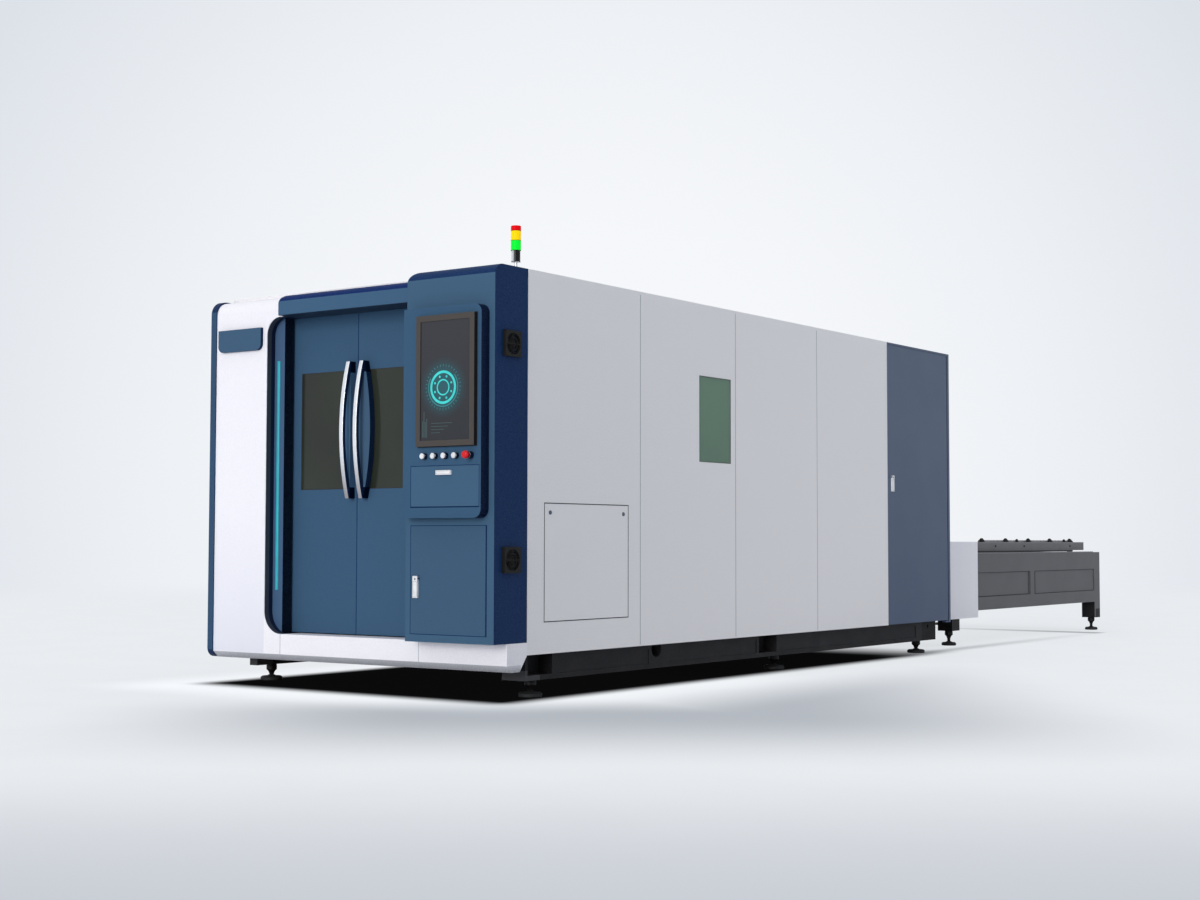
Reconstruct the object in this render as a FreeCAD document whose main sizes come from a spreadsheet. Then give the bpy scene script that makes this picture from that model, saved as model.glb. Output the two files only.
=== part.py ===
import FreeCAD, Part
import os
import Sketcher

# Enclosed sheet-metal laser cutting machine with a pallet shuttle table behind it.
# Millimetres. X runs across the machine, Y from its front doors to the far end of the
# shuttle table, Z up from the floor. Places below are written from three datums: the
# centre line between the side walls, the face of the operator's console, and the floor.
# The origin of the finished part is on the floor under the middle of its outer box.

doc = FreeCAD.newDocument("laser_cutting_machine")
sheet = doc.addObject("Spreadsheet::Sheet", "dims")
names = []


class Length:
    """A length that carries its formula on the sheet together with its value."""

    def __init__(self, value, text):
        self.value = value
        self.text = text

    def __add__(self, other):
        other = length(other)
        return Length(self.value + other.value, "(%s + %s)" % (self.text, other.text))

    def __sub__(self, other):
        other = length(other)
        return Length(self.value - other.value, "(%s - %s)" % (self.text, other.text))

    def __mul__(self, other):
        other = length(other)
        return Length(self.value * other.value, "(%s * %s)" % (self.text, other.text))

    def __truediv__(self, other):
        other = length(other)
        return Length(self.value / other.value, "(%s / %s)" % (self.text, other.text))

    def __radd__(self, other):
        return length(other) + self

    def __rsub__(self, other):
        return length(other) - self

    def __rmul__(self, other):
        return length(other) * self

    def __neg__(self):
        return length(0) - self


def length(number):
    """Give a plain number the form of a Length."""
    if isinstance(number, Length):
        return number
    return Length(float(number), "(%r)" % number)


def size(name, number):
    """Write one driving dimension on the sheet and return it."""
    names.append(name)
    row = len(names)
    sheet.set("A%d" % row, name)
    sheet.set("B%d" % row, str(number))
    sheet.setAlias("B%d" % row, name)
    return Length(float(number), "dims." + name)


# ---------------------------------------------------------------- sizes
# Enclosure
enclosure_width = size("enclosure_width", 2170)
wall_top = size("wall_top", 2200)
wall_bottom = size("wall_bottom", 230)
panel_depth = size("panel_depth", 40)
panel_length = size("panel_length", 1020)
panel_count = 4
seam = size("seam", 2.5)
gauge = size("gauge", 3)
fit_gap = size("fit_gap", 0.3)
pin_play = size("pin_play", 0.05)

# Front
console_depth = size("console_depth", 270)
console_width = size("console_width", 583)
front_plane = size("front_plane", 107)
front_back = size("front_back", 240)
cap_plane = size("cap_plane", 100)
cap_width = size("cap_width", 42)
cap_round = size("cap_round", 78)
cap_foot_round = size("cap_foot_round", 52)
sill_top = size("sill_top", 294)
plinth_fold = size("plinth_fold", 183)
plinth_bottom = size("plinth_bottom", 149)
plinth_chamfer = size("plinth_chamfer", 34)
plinth_flat = size("plinth_flat", 69)
left_drop = size("left_drop", 28)
left_round = size("left_round", 78)
cutout_left = size("cutout_left", 448)
cutout_round = size("cutout_round", 124)
cutout_top_round = size("cutout_top_round", 98)
lintel_lap = size("lintel_lap", 42)
plate_left = size("plate_left", 74)
plate_width = size("plate_width", 342)
plate_bottom = size("plate_bottom", 1876)
plate_height = size("plate_height", 125)
plate_stand = size("plate_stand", 20)
plate_round = size("plate_round", 36)
led_plane = size("led_plane", 170)
led_width = size("led_width", 76)
led_strip_width = size("led_strip_width", 20)
led_strip_bottom = size("led_strip_bottom", 534)
led_strip_top = size("led_strip_top", 1814)
led_strip_stand = size("led_strip_stand", 4)
led_strip_inset = size("led_strip_inset", 33)
left_arm = size("left_arm", 574)
led_tuck = size("led_tuck", 24)
header_plane = size("header_plane", 65)
header_rise = size("header_rise", 7)
header_round = size("header_round", 45)

# Sliding doors
door_plane = size("door_plane", 250)
door_depth = size("door_depth", 40)
door_bottom = size("door_bottom", 300)
door_clear = size("door_clear", 16)
door_split = size("door_split", 1009)
door_split_gap = size("door_split_gap", 3)
door_lap = size("door_lap", 28)
pane_side = size("pane_side", 84)
pane_width = size("pane_width", 341)
pane_bottom = size("pane_bottom", 1093)
pane_height = size("pane_height", 647)
pane_thick = size("pane_thick", 6)
pane_lip = size("pane_lip", 15)
left_handle_offset = size("left_handle_offset", 31)
right_handle_offset = size("right_handle_offset", 68)
handle_width = size("handle_width", 26)
handle_bottom = size("handle_bottom", 1038)
handle_length = size("handle_length", 749)
handle_bulge = size("handle_bulge", 51)
handle_end_stand = size("handle_end_stand", 47)
handle_grip = size("handle_grip", 19)
handle_foot = size("handle_foot", 66)
pad_thick = size("pad_thick", 40)
pad_bulge = size("pad_bulge", 46)
track_height = size("track_height", 48)
track_gap = size("track_gap", 35)
track_slot = size("track_slot", 18)
track_flange = size("track_flange", 12)
hanger_thick = size("hanger_thick", 10)
hanger_length = size("hanger_length", 90)
roller_bar = size("roller_bar", 30)
roller_half = size("roller_half", 22.5)
roller_height = size("roller_height", 15)

# Operator's console
console_round = size("console_round", 60)
console_inside = size("console_inside", 225)
control_left = size("control_left", 35)
control_right = size("control_right", 35)
control_bottom = size("control_bottom", 923)
control_top = size("control_top", 1993)
control_stand = size("control_stand", 64)
control_round = size("control_round", 45)
monitor_right = size("monitor_right", 61)
monitor_width = size("monitor_width", 383)
monitor_bottom = size("monitor_bottom", 1284)
monitor_height = size("monitor_height", 664)
monitor_stand = size("monitor_stand", 24)
bezel = size("bezel", 30)
screen_recess = size("screen_recess", 4)
screen_thick = size("screen_thick", 6)
button_level = size("button_level", 1236)
button_first = size("button_first", 184)
button_pitch = size("button_pitch", 69.5)
button_radius = size("button_radius", 14.5)
button_stem = size("button_stem", 10)
button_head = size("button_head", 7)
button_travel = size("button_travel", 3)
barrel_radius = size("barrel_radius", 16)
barrel_stand = size("barrel_stand", 20)
stem_length = size("stem_length", 40)
estop_offset = size("estop_offset", 98)
estop_radius = size("estop_radius", 20)
estop_head = size("estop_head", 24)
estop_travel = size("estop_travel", 6)
estop_barrel = size("estop_barrel", 28)
estop_neck = size("estop_neck", 16)
estop_rim_start = size("estop_rim_start", 7)
estop_rim_end = size("estop_rim_end", 14)
estop_shoulder = size("estop_shoulder", 22)
estop_crown = size("estop_crown", 8)
flap_right = size("flap_right", 47)
flap_width = size("flap_width", 446)
flap_bottom = size("flap_bottom", 979)
flap_height = size("flap_height", 206)
flap_thick = size("flap_thick", 12)
flap_cavity = size("flap_cavity", 70)
hatch_pin = size("hatch_pin", 3)
hatch_pin_length = size("hatch_pin_length", 8)
pull_width = size("pull_width", 98)
pull_height = size("pull_height", 23)
pull_drop = size("pull_drop", 22)
pull_stand = size("pull_stand", 12)
hatch_left = size("hatch_left", 36)
hatch_right = size("hatch_right", 50)
hatch_bottom = size("hatch_bottom", 335)
hatch_top = size("hatch_top", 884)
hatch_thick = size("hatch_thick", 18)
hatch_edge = size("hatch_edge", 27)
latch_width = size("latch_width", 33)
latch_height = size("latch_height", 113)
latch_thick = size("latch_thick", 12)
latch_inset = size("latch_inset", 22)
latch_bottom = size("latch_bottom", 517)
latch_pin = size("latch_pin", 3)
latch_ear = size("latch_ear", 6)
ear_height = size("ear_height", 18)

# Cooling fans on the console's side
fan_front = size("fan_front", 64)
fan_frame = size("fan_frame", 131)
fan_upper = size("fan_upper", 1802)
fan_lower = size("fan_lower", 713)
fan_stand = size("fan_stand", 18)
fan_bore = size("fan_bore", 56)
fan_hub = size("fan_hub", 18)
fan_tip = size("fan_tip", 51)
blade_root = size("blade_root", 9)
blade_length = size("blade_length", 9.4)
fan_spider = size("fan_spider", 4)
fan_ring = size("fan_ring", 2)
fan_ring_radius = size("fan_ring_radius", 36)
blade_count = 5
blade_thick = size("blade_thick", 2)
blade_pitch = 35  # degrees

# Side wall items
window_rear = size("window_rear", 58)
window_width = size("window_width", 347)
window_bottom = size("window_bottom", 1275)
window_height = size("window_height", 501)
window_thick = size("window_thick", 6)
access_rear = size("access_rear", 120)
access_width = size("access_width", 757)
access_bottom = size("access_bottom", 395)
access_height = size("access_height", 608)
access_thick = size("access_thick", 4)
access_lip = size("access_lip", 20)
lock_inset = size("lock_inset", 47)
lock_radius = size("lock_radius", 11)
lock_stem = size("lock_stem", 6)
lock_head = size("lock_head", 4)
lock_cam = size("lock_cam", 32)
rear_post = size("rear_post", 28)
rear_head = size("rear_head", 14)
rear_latch_front = size("rear_latch_front", 48)
rear_latch_bottom = size("rear_latch_bottom", 1158)
rear_pin = size("rear_pin", 6)
lug_thick = size("lug_thick", 14)

# Bed
bed_bottom = size("bed_bottom", 95)
bed_front = size("bed_front", 306)
bed_beam = size("bed_beam", 150)
bed_relief = size("bed_relief", 90)
bed_relief_length = size("bed_relief_length", 120)
rail_seat = size("rail_seat", 940)
bed_setback = size("bed_setback", 405)
bed_bracket_length = size("bed_bracket_length", 227)
bed_bracket_thick = size("bed_bracket_thick", 12)
bed_bracket_hole = size("bed_bracket_hole", 13)
bed_hole_inset = size("bed_hole_inset", 95)
bed_hole_level = size("bed_hole_level", 195)
bed_pocket_depth = size("bed_pocket_depth", 90)
bed_lip = size("bed_lip", 26)
front_pocket_start = size("front_pocket_start", 327)
front_pocket_length = size("front_pocket_length", 207)
notch_place = size("notch_place", 1511)
notch_radius = size("notch_radius", 49)
middle_pocket_start = size("middle_pocket_start", 2648)
middle_pocket_length = size("middle_pocket_length", 218)
panel_recess = size("panel_recess", 4)
cross_member = size("cross_member", 120)
cross_top = size("cross_top", 300)
cross_first = size("cross_first", 620)
cross_setback = size("cross_setback", 85)
cross_count = 4
rail_width = size("rail_width", 30)
rail_height = size("rail_height", 26)
rail_setback = size("rail_setback", 465)

# Feet
foot_radius = size("foot_radius", 50)
foot_rim = size("foot_rim", 8)
foot_slope = size("foot_slope", 17)
foot_collar = size("foot_collar", 20)
foot_collar_top = size("foot_collar_top", 24)
foot_stem = size("foot_stem", 12)
foot_nut = size("foot_nut", 27)
foot_nut_taper = size("foot_nut_taper", 46)
foot_offset = size("foot_offset", 20)
foot_first = size("foot_first", 473)
foot_middle = size("foot_middle", 2995)
foot_inset = size("foot_inset", 96)

# Shuttle table
table_width = size("table_width", 1620)
table_length = size("table_length", 3890)
table_bottom = size("table_bottom", 260)
table_top = size("table_top", 715)
table_beam = size("table_beam", 60)
table_recess = size("table_recess", 8)
table_recess_bottom = size("table_recess_bottom", 364)
table_recess_top = size("table_recess_top", 561)
table_post_place = size("table_post_place", 2202)
table_post_width = size("table_post_width", 129)
leg_width = size("leg_width", 120)
leg_length = size("leg_length", 140)
leg_bottom = size("leg_bottom", 115)
leg_place = size("leg_place", 630)
shroud_length = size("shroud_length", 1060)
shroud_bottom = size("shroud_bottom", 208)
shroud_top = size("shroud_top", 808)
shroud_depth = size("shroud_depth", 30)
track_level = size("track_level", 700)
track_drop = size("track_drop", 150)
track_shelf = size("track_shelf", 12)
track_reach = size("track_reach", 60)
pass_gap = size("pass_gap", 30)

# Pallets
pallet_width = size("pallet_width", 1480)
pallet_length = size("pallet_length", 3200)
pallet_margin = size("pallet_margin", 216)
pallet_travel = size("pallet_travel", 4527)
pallet_bottom = size("pallet_bottom", 734)
pallet_top = size("pallet_top", 806)
pallet_rail = size("pallet_rail", 60)
slat_thick = size("slat_thick", 4)
slat_tip = size("slat_tip", 832)
slat_root = size("slat_root", 812)
slat_margin = size("slat_margin", 175)
slat_count = 20
tooth_count = 9
wheel_radius = size("wheel_radius", 28)
wheel_width = size("wheel_width", 24)
wheel_inset = size("wheel_inset", 260)
wheel_count = 4
stud_margin = size("stud_margin", 974)
stud_pitch = size("stud_pitch", 494)
stud_radius = size("stud_radius", 28)
stud_tip = size("stud_tip", 7)
stud_rise = size("stud_rise", 24)
stud_count = 5

# Gantry
gantry_start = size("gantry_start", 900)
gantry_depth = size("gantry_depth", 240)
gantry_bottom = size("gantry_bottom", 1010)
gantry_height = size("gantry_height", 300)
gantry_wall = size("gantry_wall", 12)
gantry_side_gap = size("gantry_side_gap", 25)
block_length = size("block_length", 200)
block_half = size("block_half", 45)
block_clear = size("block_clear", 9)
beam_rail = size("beam_rail", 20)
beam_rail_inset = size("beam_rail_inset", 40)
carriage_width = size("carriage_width", 260)
carriage_thick = size("carriage_thick", 40)
carriage_drop = size("carriage_drop", 30)
carriage_rise = size("carriage_rise", 60)
head_width = size("head_width", 110)
head_depth = size("head_depth", 90)
head_bottom = size("head_bottom", 1000)
head_height = size("head_height", 420)
nozzle_bottom = size("nozzle_bottom", 920)
nozzle_radius = size("nozzle_radius", 32)

# Laser source cabinet behind the rear side door
source_rear = size("source_rear", 110)
source_length = size("source_length", 640)
source_depth = size("source_depth", 200)
source_clear = size("source_clear", 6)
source_height = size("source_height", 980)
source_vents = 6
vent_height = size("vent_height", 14)
vent_pitch = size("vent_pitch", 44)

# Signal tower
tower_inset = size("tower_inset", 109)
tower_place = size("tower_place", 304)
tower_radius = size("tower_radius", 26.5)
tower_base_radius = size("tower_base_radius", 23)
tower_stem = size("tower_stem", 8)
tower_stem_height = size("tower_stem_height", 49)
tower_base_height = size("tower_base_height", 60)
tower_green_height = size("tower_green_height", 52)
tower_yellow_height = size("tower_yellow_height", 50)
tower_red_height = size("tower_red_height", 26)

# ---------------------------------------------------------------- derived places
half = enclosure_width / 2
console_left = half - console_width
rear_start = console_depth + panel_length * panel_count
rear_end = rear_start + panel_length
window_front = console_depth + panel_length * 2 - window_rear - window_width
access_front = console_depth + panel_length - access_rear - access_width
source_start = rear_end - source_rear - source_length
bed_side_end = rear_end - bed_setback
bed_bracket_end = bed_side_end + bed_bracket_length
bed_hole_place = bed_side_end + bed_hole_inset
rail_end = bed_side_end - rail_setback
foot_last = bed_side_end + foot_inset
table_end = rear_end + table_length
table_post = rear_end + table_post_place
leg_near = rear_end + leg_place
shroud_end = rear_end + shroud_length
pallet_end = table_end - pallet_margin
wall_inside = half - panel_depth
left_top = wall_top - left_drop
roof_bottom = wall_top - panel_depth
track_bottom = roof_bottom - track_height
track_end = wall_inside - track_gap
door_top = track_bottom - door_clear
lintel_bottom = door_top - lintel_lap
header_top = roof_bottom + header_rise
split = door_split - half
cutout_edge = cutout_left - half
led_right = cutout_edge + led_width
bed_outside = wall_inside - fit_gap
bed_inside = wall_inside - bed_beam
table_half = table_width / 2
estop_reach = control_stand + estop_barrel + estop_travel + estop_head
centre_x = fan_stand / 2
centre_y = (table_end - estop_reach) / 2
origin = {"x": centre_x, "y": centre_y, "z": length(0)}
doc.recompute()


# ---------------------------------------------------------------- ways of making pieces
def spot(axis, place):
    """Turn a place from the datums into the finished part's frame."""
    return length(place) - origin[axis]


def put(thing, x, y, z):
    """Bind a thing's position to the sheet."""
    for axis, place in (("x", x), ("y", y), ("z", z)):
        thing.setExpression(".Placement.Base." + axis, spot(axis, place).text)


def block(x, y, z):
    """Box between two places on each axis."""
    box = doc.addObject("Part::Box", "block")
    spans = [sorted((length(end) for end in span), key=lambda end: end.value) for span in (x, y, z)]
    for prop, (low, high) in zip(("Length", "Width", "Height"), spans):
        box.setExpression(prop, (high - low).text)
    put(box, spans[0][0], spans[1][0], spans[2][0])
    return box


ALONG = {
    "x": FreeCAD.Rotation(FreeCAD.Vector(0, 1, 0), 90),
    "y": FreeCAD.Rotation(FreeCAD.Vector(1, 0, 0), -90),
    "-y": FreeCAD.Rotation(FreeCAD.Vector(1, 0, 0), 90),
    "z": FreeCAD.Rotation(),
    "-z": FreeCAD.Rotation(FreeCAD.Vector(1, 0, 0), 180),
}


def rod(along, x, y, z, radius, reach):
    """Cylinder that starts at a point and runs along an axis."""
    bar = doc.addObject("Part::Cylinder", "rod")
    bar.Placement.Rotation = ALONG[along]
    bar.setExpression("Radius", length(radius).text)
    bar.setExpression("Height", length(reach).text)
    put(bar, x, y, z)
    return bar


def fuse(*pieces):
    """Join pieces that are welded or moulded as one."""
    joined = doc.addObject("Part::MultiFuse", "joined")
    joined.Shapes = list(pieces)
    joined.Refine = True
    return joined


def cut(base, *tools):
    """Take tools out of a base."""
    result = doc.addObject("Part::Cut", "cut")
    result.Base = base
    result.Tool = tools[0] if len(tools) == 1 else fuse(*tools)
    result.Refine = True
    return result


def common(base, tool):
    """Keep what two shapes share."""
    result = doc.addObject("Part::Common", "common")
    result.Base = base
    result.Tool = tool
    return result


def group(pieces):
    """Separate solids that are alike and share one node."""
    result = doc.addObject("Part::Compound", "group")
    result.Links = list(pieces)
    return result


PLANES = {
    "XY": ("XY_Plane", "x", "y", "z", 1),
    "XZ": ("XZ_Plane", "x", "z", "y", -1),
    "YZ": ("YZ_Plane", "y", "z", "x", 1),
}


def outline_on(body, role, points):
    """Sketch of straight sides through points, each point bound to the sheet."""
    sketch = body.newObject("Sketcher::SketchObject", "outline")
    base = [feature for feature in body.Origin.OriginFeatures if feature.Role == role][0]
    sketch.AttachmentSupport = [(base, "")]
    sketch.MapMode = "FlatFace"
    places = [FreeCAD.Vector(u.value, v.value, 0) for u, v in points]
    for start, end in zip(places, places[1:] + places[:1]):
        sketch.addGeometry(Part.LineSegment(start, end))
    count = len(points)
    for side in range(count):
        sketch.addConstraint(Sketcher.Constraint("Coincident", side, 2, (side + 1) % count, 1))
    for side, (u, v) in enumerate(points):
        for kind, place in (("DistanceX", u), ("DistanceY", v)):
            mark = sketch.addConstraint(Sketcher.Constraint(kind, -1, 1, side, 1, place.value))
            sketch.setExpression("Constraints[%d]" % mark, place.text)
    return sketch


def prism(plane, corners, start, end):
    """Body whose outline is padded from one place to another along the plane's axis."""
    role, across, up, out, sense = PLANES[plane]
    body = doc.addObject("PartDesign::Body", "body")
    sketch = outline_on(body, role, [(spot(across, u), spot(up, v)) for u, v in corners])
    sketch.setExpression("AttachmentOffset.Base.z", (spot(out, start) * sense).text)
    pad = body.newObject("PartDesign::Pad", "pad")
    pad.Profile = sketch
    pad.setExpression("Length", (length(end) - start).text)
    pad.Reversed = sense < 0
    body.Tip = pad
    return body


def edges_at(shape, **places):
    """Names of the straight edges that lie wholly at the given places."""
    found = []
    for number, edge in enumerate(shape.Edges, 1):
        box = edge.BoundBox
        ends = {"x": (box.XMin, box.XMax), "y": (box.YMin, box.YMax), "z": (box.ZMin, box.ZMax)}
        gaps = [abs(end - spot(axis, place).value) for axis, place in places.items() for end in ends[axis]]
        if max(gaps) < 0.01:
            found.append("Edge%d" % number)
    return found


def rounded(body, radius, *edges):
    """Round some edges of a body; each edge is told by two of its coordinates."""
    doc.recompute()
    base = body.Tip
    fillet = body.newObject("PartDesign::Fillet", "fillet")
    fillet.Base = (base, [name for places in edges for name in edges_at(base.Shape, **places)])
    fillet.setExpression("Radius", length(radius).text)
    body.Tip = fillet
    return body


def turned(along, x, y, z, profile):
    """Body turned about an axis: the profile is radius and height in turn."""
    body = doc.addObject("PartDesign::Body", "turned")
    sketch = outline_on(body, "XZ_Plane", [(length(u), length(v)) for u, v in profile])
    turn = body.newObject("PartDesign::Revolution", "turn")
    turn.Profile = sketch
    turn.ReferenceAxis = (sketch, ["V_Axis"])
    turn.Angle = 360
    body.Tip = turn
    body.Placement.Rotation = ALONG[along]
    put(body, x, y, z)
    return body


def tray(x, y, z, open_to):
    """Sheet folded into a shallow tray: a flat face with a return on each of its four sides."""
    spans = {"x": x, "y": y, "z": z}
    inner = {}
    for axis, (low, high) in spans.items():
        inner[axis] = (low + gauge, high - gauge)
    axis = open_to[-1]
    low, high = spans[axis]
    inner[axis] = (low - 1, high - gauge) if open_to[0] == "-" else (low + gauge, high + 1)
    return cut(block(x, y, z), block(inner["x"], inner["y"], inner["z"]))


parts = {}


# ---------------------------------------------------------------- front
plate_front = front_plane - plate_stand
cap_inner = cap_width - half
arm_end = left_arm - half
plinth_back = front_plane + plinth_chamfer + plinth_flat
plinth_outline = [
    (front_plane, sill_top),
    (front_plane, plinth_fold),
    (front_plane + plinth_chamfer, plinth_bottom),
    (plinth_back, plinth_bottom),
    (console_depth, wall_bottom),
    (console_depth, sill_top),
]


def plinth_length(start, end):
    """Folded plinth, open at its back: the outline less the same outline drawn in by the sheet."""
    solid = prism("YZ", plinth_outline, start, end)
    inside = [
        (front_plane + gauge, sill_top - gauge),
        (front_plane + gauge, plinth_fold + gauge),
        (front_plane + plinth_chamfer + gauge, plinth_bottom + gauge),
        (plinth_back - gauge, plinth_bottom + gauge),
        (console_depth - gauge, wall_bottom),
        (console_depth + gauge, wall_bottom + gauge),
        (console_depth + gauge, sill_top - gauge),
    ]
    return cut(solid, prism("YZ", inside, start + gauge, end - gauge))


plinth_tie = block(
    (console_left - panel_depth, console_left + panel_depth),
    (console_depth, console_depth + gauge),
    (wall_bottom, sill_top),
)
parts["front_plinth"] = group([
    plinth_length(arm_end + seam, console_left - seam),
    fuse(plinth_length(console_left, half), plinth_tie),
])

# The white front corner: bottom fold, column and top arm in one folded piece round the door recess.
left_front = prism("YZ", plinth_outline[1:] + [
    (front_back, sill_top),
    (front_back, left_top),
    (front_plane, left_top),
], cap_inner, arm_end)
rounded(left_front, left_round, {"y": front_plane, "z": left_top})
recess = prism("XZ", [
    (cutout_edge, sill_top),
    (half, sill_top),
    (half, lintel_bottom),
    (cutout_edge, lintel_bottom),
], header_plane, led_plane)
rounded(recess, cutout_round, {"x": cutout_edge, "z": sill_top})
rounded(recess, cutout_top_round, {"x": cutout_edge, "z": lintel_bottom})
led_room = block(
    (cutout_edge - led_tuck, half),
    (led_plane - fit_gap, console_depth),
    (sill_top, lintel_bottom),
)
parts["front_left_panel"] = cut(left_front, recess, led_room)

cap_top = left_top + (front_plane - cap_plane)
cap = prism("YZ", [
    (cap_plane, plinth_bottom),
    (plinth_back, plinth_bottom),
    (console_depth, wall_bottom),
    (console_depth, cap_top),
    (cap_plane, cap_top),
], -half, cap_inner)
rounded(cap, cap_round, {"y": cap_plane, "z": cap_top})
rounded(cap, cap_foot_round, {"y": cap_plane, "z": plinth_bottom})
roof_corner = block(
    (-wall_inside, cap_inner + gauge),
    (front_back, console_depth + gauge),
    (roof_bottom - fit_gap, wall_top),
)
parts["left_end_cap"] = cut(cap, roof_corner)

plate_start = plate_left - half
plate = prism("XZ", [
    (plate_start, plate_bottom),
    (plate_start + plate_width, plate_bottom),
    (plate_start + plate_width, plate_bottom + plate_height),
    (plate_start, plate_bottom + plate_height),
], plate_front, front_plane)
parts["name_plate"] = rounded(
    plate, plate_round,
    {"x": plate_start, "z": plate_bottom},
    {"x": plate_start + plate_width, "z": plate_bottom},
)

parts["led_panel"] = block(
    (cutout_edge - led_tuck + fit_gap, led_right),
    (led_plane, front_back),
    (sill_top, lintel_bottom),
)
strip_left = cutout_edge + led_strip_inset - led_strip_width / 2
parts["led_strip"] = block(
    (strip_left, strip_left + led_strip_width),
    (led_plane - led_strip_stand, led_plane),
    (led_strip_bottom, led_strip_top),
)

header_left = arm_end + seam
header = prism("XZ", [
    (header_left, lintel_bottom),
    (console_left, lintel_bottom),
    (console_left, header_top),
    (header_left, header_top),
], header_plane, front_back)
parts["front_header"] = rounded(
    header, header_round,
    {"y": header_plane, "z": header_top},
    {"x": header_left, "z": header_top},
)

# ---------------------------------------------------------------- sliding doors
track_middle = door_plane + door_depth / 2
bar_seat = track_bottom + track_flange
track = cut(
    block(
        (-track_end, track_end),
        (track_middle - roller_bar, track_middle + roller_bar),
        (track_bottom, roof_bottom),
    ),
    block(
        (-half, half),
        (track_middle - track_slot / 2, track_middle + track_slot / 2),
        (track_bottom - gauge, roof_bottom - gauge),
    ),
    block(
        (-half, half),
        (track_middle - roller_bar + gauge, track_middle + roller_bar - gauge),
        (bar_seat, roof_bottom - gauge),
    ),
)
parts["door_track"] = track


def pane_opening(left, bottom, width, height):
    """Room for a pane that sits flush against a lip."""
    return [
        block(
            (left - fit_gap, left + width + fit_gap),
            (door_plane - gauge, door_plane + pane_thick + fit_gap),
            (bottom - fit_gap, bottom + height + fit_gap),
        ),
        block(
            (left + pane_lip, left + width - pane_lip),
            (door_plane, door_plane + door_depth),
            (bottom + pane_lip, bottom + height - pane_lip),
        ),
    ]


def arc_radius(chord, rise):
    """Radius of the arc that rises by so much over a chord."""
    return chord * chord / (rise * 8) + rise / 2


handle_top = handle_bottom + handle_length
handle_middle = handle_bottom + handle_length / 2
pad_face = door_plane - pad_thick


def door_leaf(side, outer, handle_offset):
    """Door leaf with its pane, the raised half-lens pad and the bowed handle on that pad."""
    inner = split + door_split_gap / 2 * side
    low, high = (inner, outer) if side > 0 else (outer, inner)
    leaf = tray((low, high), (door_plane, door_plane + door_depth), (door_bottom, door_top), "+y")
    pane_near = split + pane_side * side
    pane_left = pane_near if side > 0 else pane_near - pane_width
    surround = block(
        (pane_left - pane_lip, pane_left + pane_width + pane_lip),
        (door_plane, door_plane + pane_thick * 2),
        (pane_bottom - pane_lip, pane_bottom + pane_height + pane_lip),
    )
    hangers = []
    for end in (low + hanger_length, high - hanger_length * 2):
        hangers.append(block(
            (end, end + hanger_length),
            (track_middle - hanger_thick / 2, track_middle + hanger_thick / 2),
            (door_top - door_depth, bar_seat + roller_height),
        ))
        hangers.append(block(
            (end, end + hanger_length),
            (track_middle - roller_half, track_middle + roller_half),
            (bar_seat + fit_gap, bar_seat + roller_height),
        ))
    grip_middle = split + handle_offset * side
    grip_near = grip_middle - handle_width / 2 * side
    grip_far = grip_middle + handle_width / 2 * side
    pad_reach = grip_far + pad_bulge * side
    pad_arc = arc_radius(handle_length, pad_bulge)
    pad = common(
        block((grip_near, pad_reach), (pad_face, door_plane), (handle_bottom, handle_top)),
        rod("y", pad_reach - pad_arc * side, pad_face - gauge, handle_middle, pad_arc, pad_thick + gauge * 2),
    )
    openings = pane_opening(pane_left, pane_bottom, pane_width, pane_height)
    door = cut(fuse(leaf, surround, pad, *hangers), *openings)
    pane = block(
        (pane_left, pane_left + pane_width),
        (door_plane, door_plane + pane_thick),
        (pane_bottom, pane_bottom + pane_height),
    )
    crown = door_plane - handle_end_stand - handle_bulge
    outer_arc = arc_radius(handle_length, handle_bulge)
    inner_rise = pad_face - crown - handle_grip
    inner_arc = arc_radius(handle_length - handle_foot * 2, inner_rise)
    sides = (grip_near, grip_far) if side > 0 else (grip_far, grip_near)
    blank = common(
        block(sides, (crown, pad_face), (handle_bottom, handle_top)),
        rod("x", sides[0], crown + outer_arc, handle_middle, outer_arc, handle_width),
    )
    finger_room = rod(
        "x", sides[0] - gauge, crown + handle_grip + inner_arc, handle_middle,
        inner_arc, handle_width + gauge * 2,
    )
    return door, pane, cut(blank, finger_room)


leaves = {
    "left": door_leaf(-1, led_right - door_lap, left_handle_offset),
    "right": door_leaf(1, console_left + door_lap, right_handle_offset),
}
for name, (leaf, pane, handle) in leaves.items():
    parts[name + "_door"] = leaf
    parts[name + "_door_window"] = pane
    parts[name + "_handle"] = handle

# ---------------------------------------------------------------- operator's console
hatch_start = console_left + hatch_left
hatch_end = half - hatch_right
hatch_pivot_x = hatch_end - hatch_thick / 2
hatch_pivot_y = hatch_thick / 2
flap_end = half - flap_right
flap_start = flap_end - flap_width
flap_face = -control_stand
flap_pivot_y = flap_face + flap_thick / 2
flap_pivot_z = flap_bottom + flap_thick / 2
fan_middle = fan_front + fan_frame / 2

cabinet = prism("XZ", [
    (console_left, sill_top),
    (half, sill_top),
    (half, wall_top),
    (console_left, wall_top),
], 0, front_back)
rounded(
    cabinet, console_round,
    {"y": 0, "z": wall_top},
    {"x": console_left, "z": wall_top},
)
side_return = block(
    (wall_inside, half),
    (front_back, console_depth - seam),
    (sill_top, wall_top),
)
hatch_opening = block(
    (hatch_start - seam, hatch_end + seam),
    (-gauge, hatch_thick + fit_gap),
    (hatch_bottom - seam, hatch_top + seam),
)
hatch_cavity = block(
    (hatch_start + pane_lip, hatch_end - hatch_thick),
    (0, console_inside),
    (hatch_bottom + pane_lip, hatch_top - pane_lip),
)
hatch_pins_room = rod(
    "z", hatch_pivot_x, hatch_pivot_y, hatch_bottom - hatch_pin_length - fit_gap,
    hatch_pin + pin_play, hatch_top - hatch_bottom + (hatch_pin_length + fit_gap) * 2,
)
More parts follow.
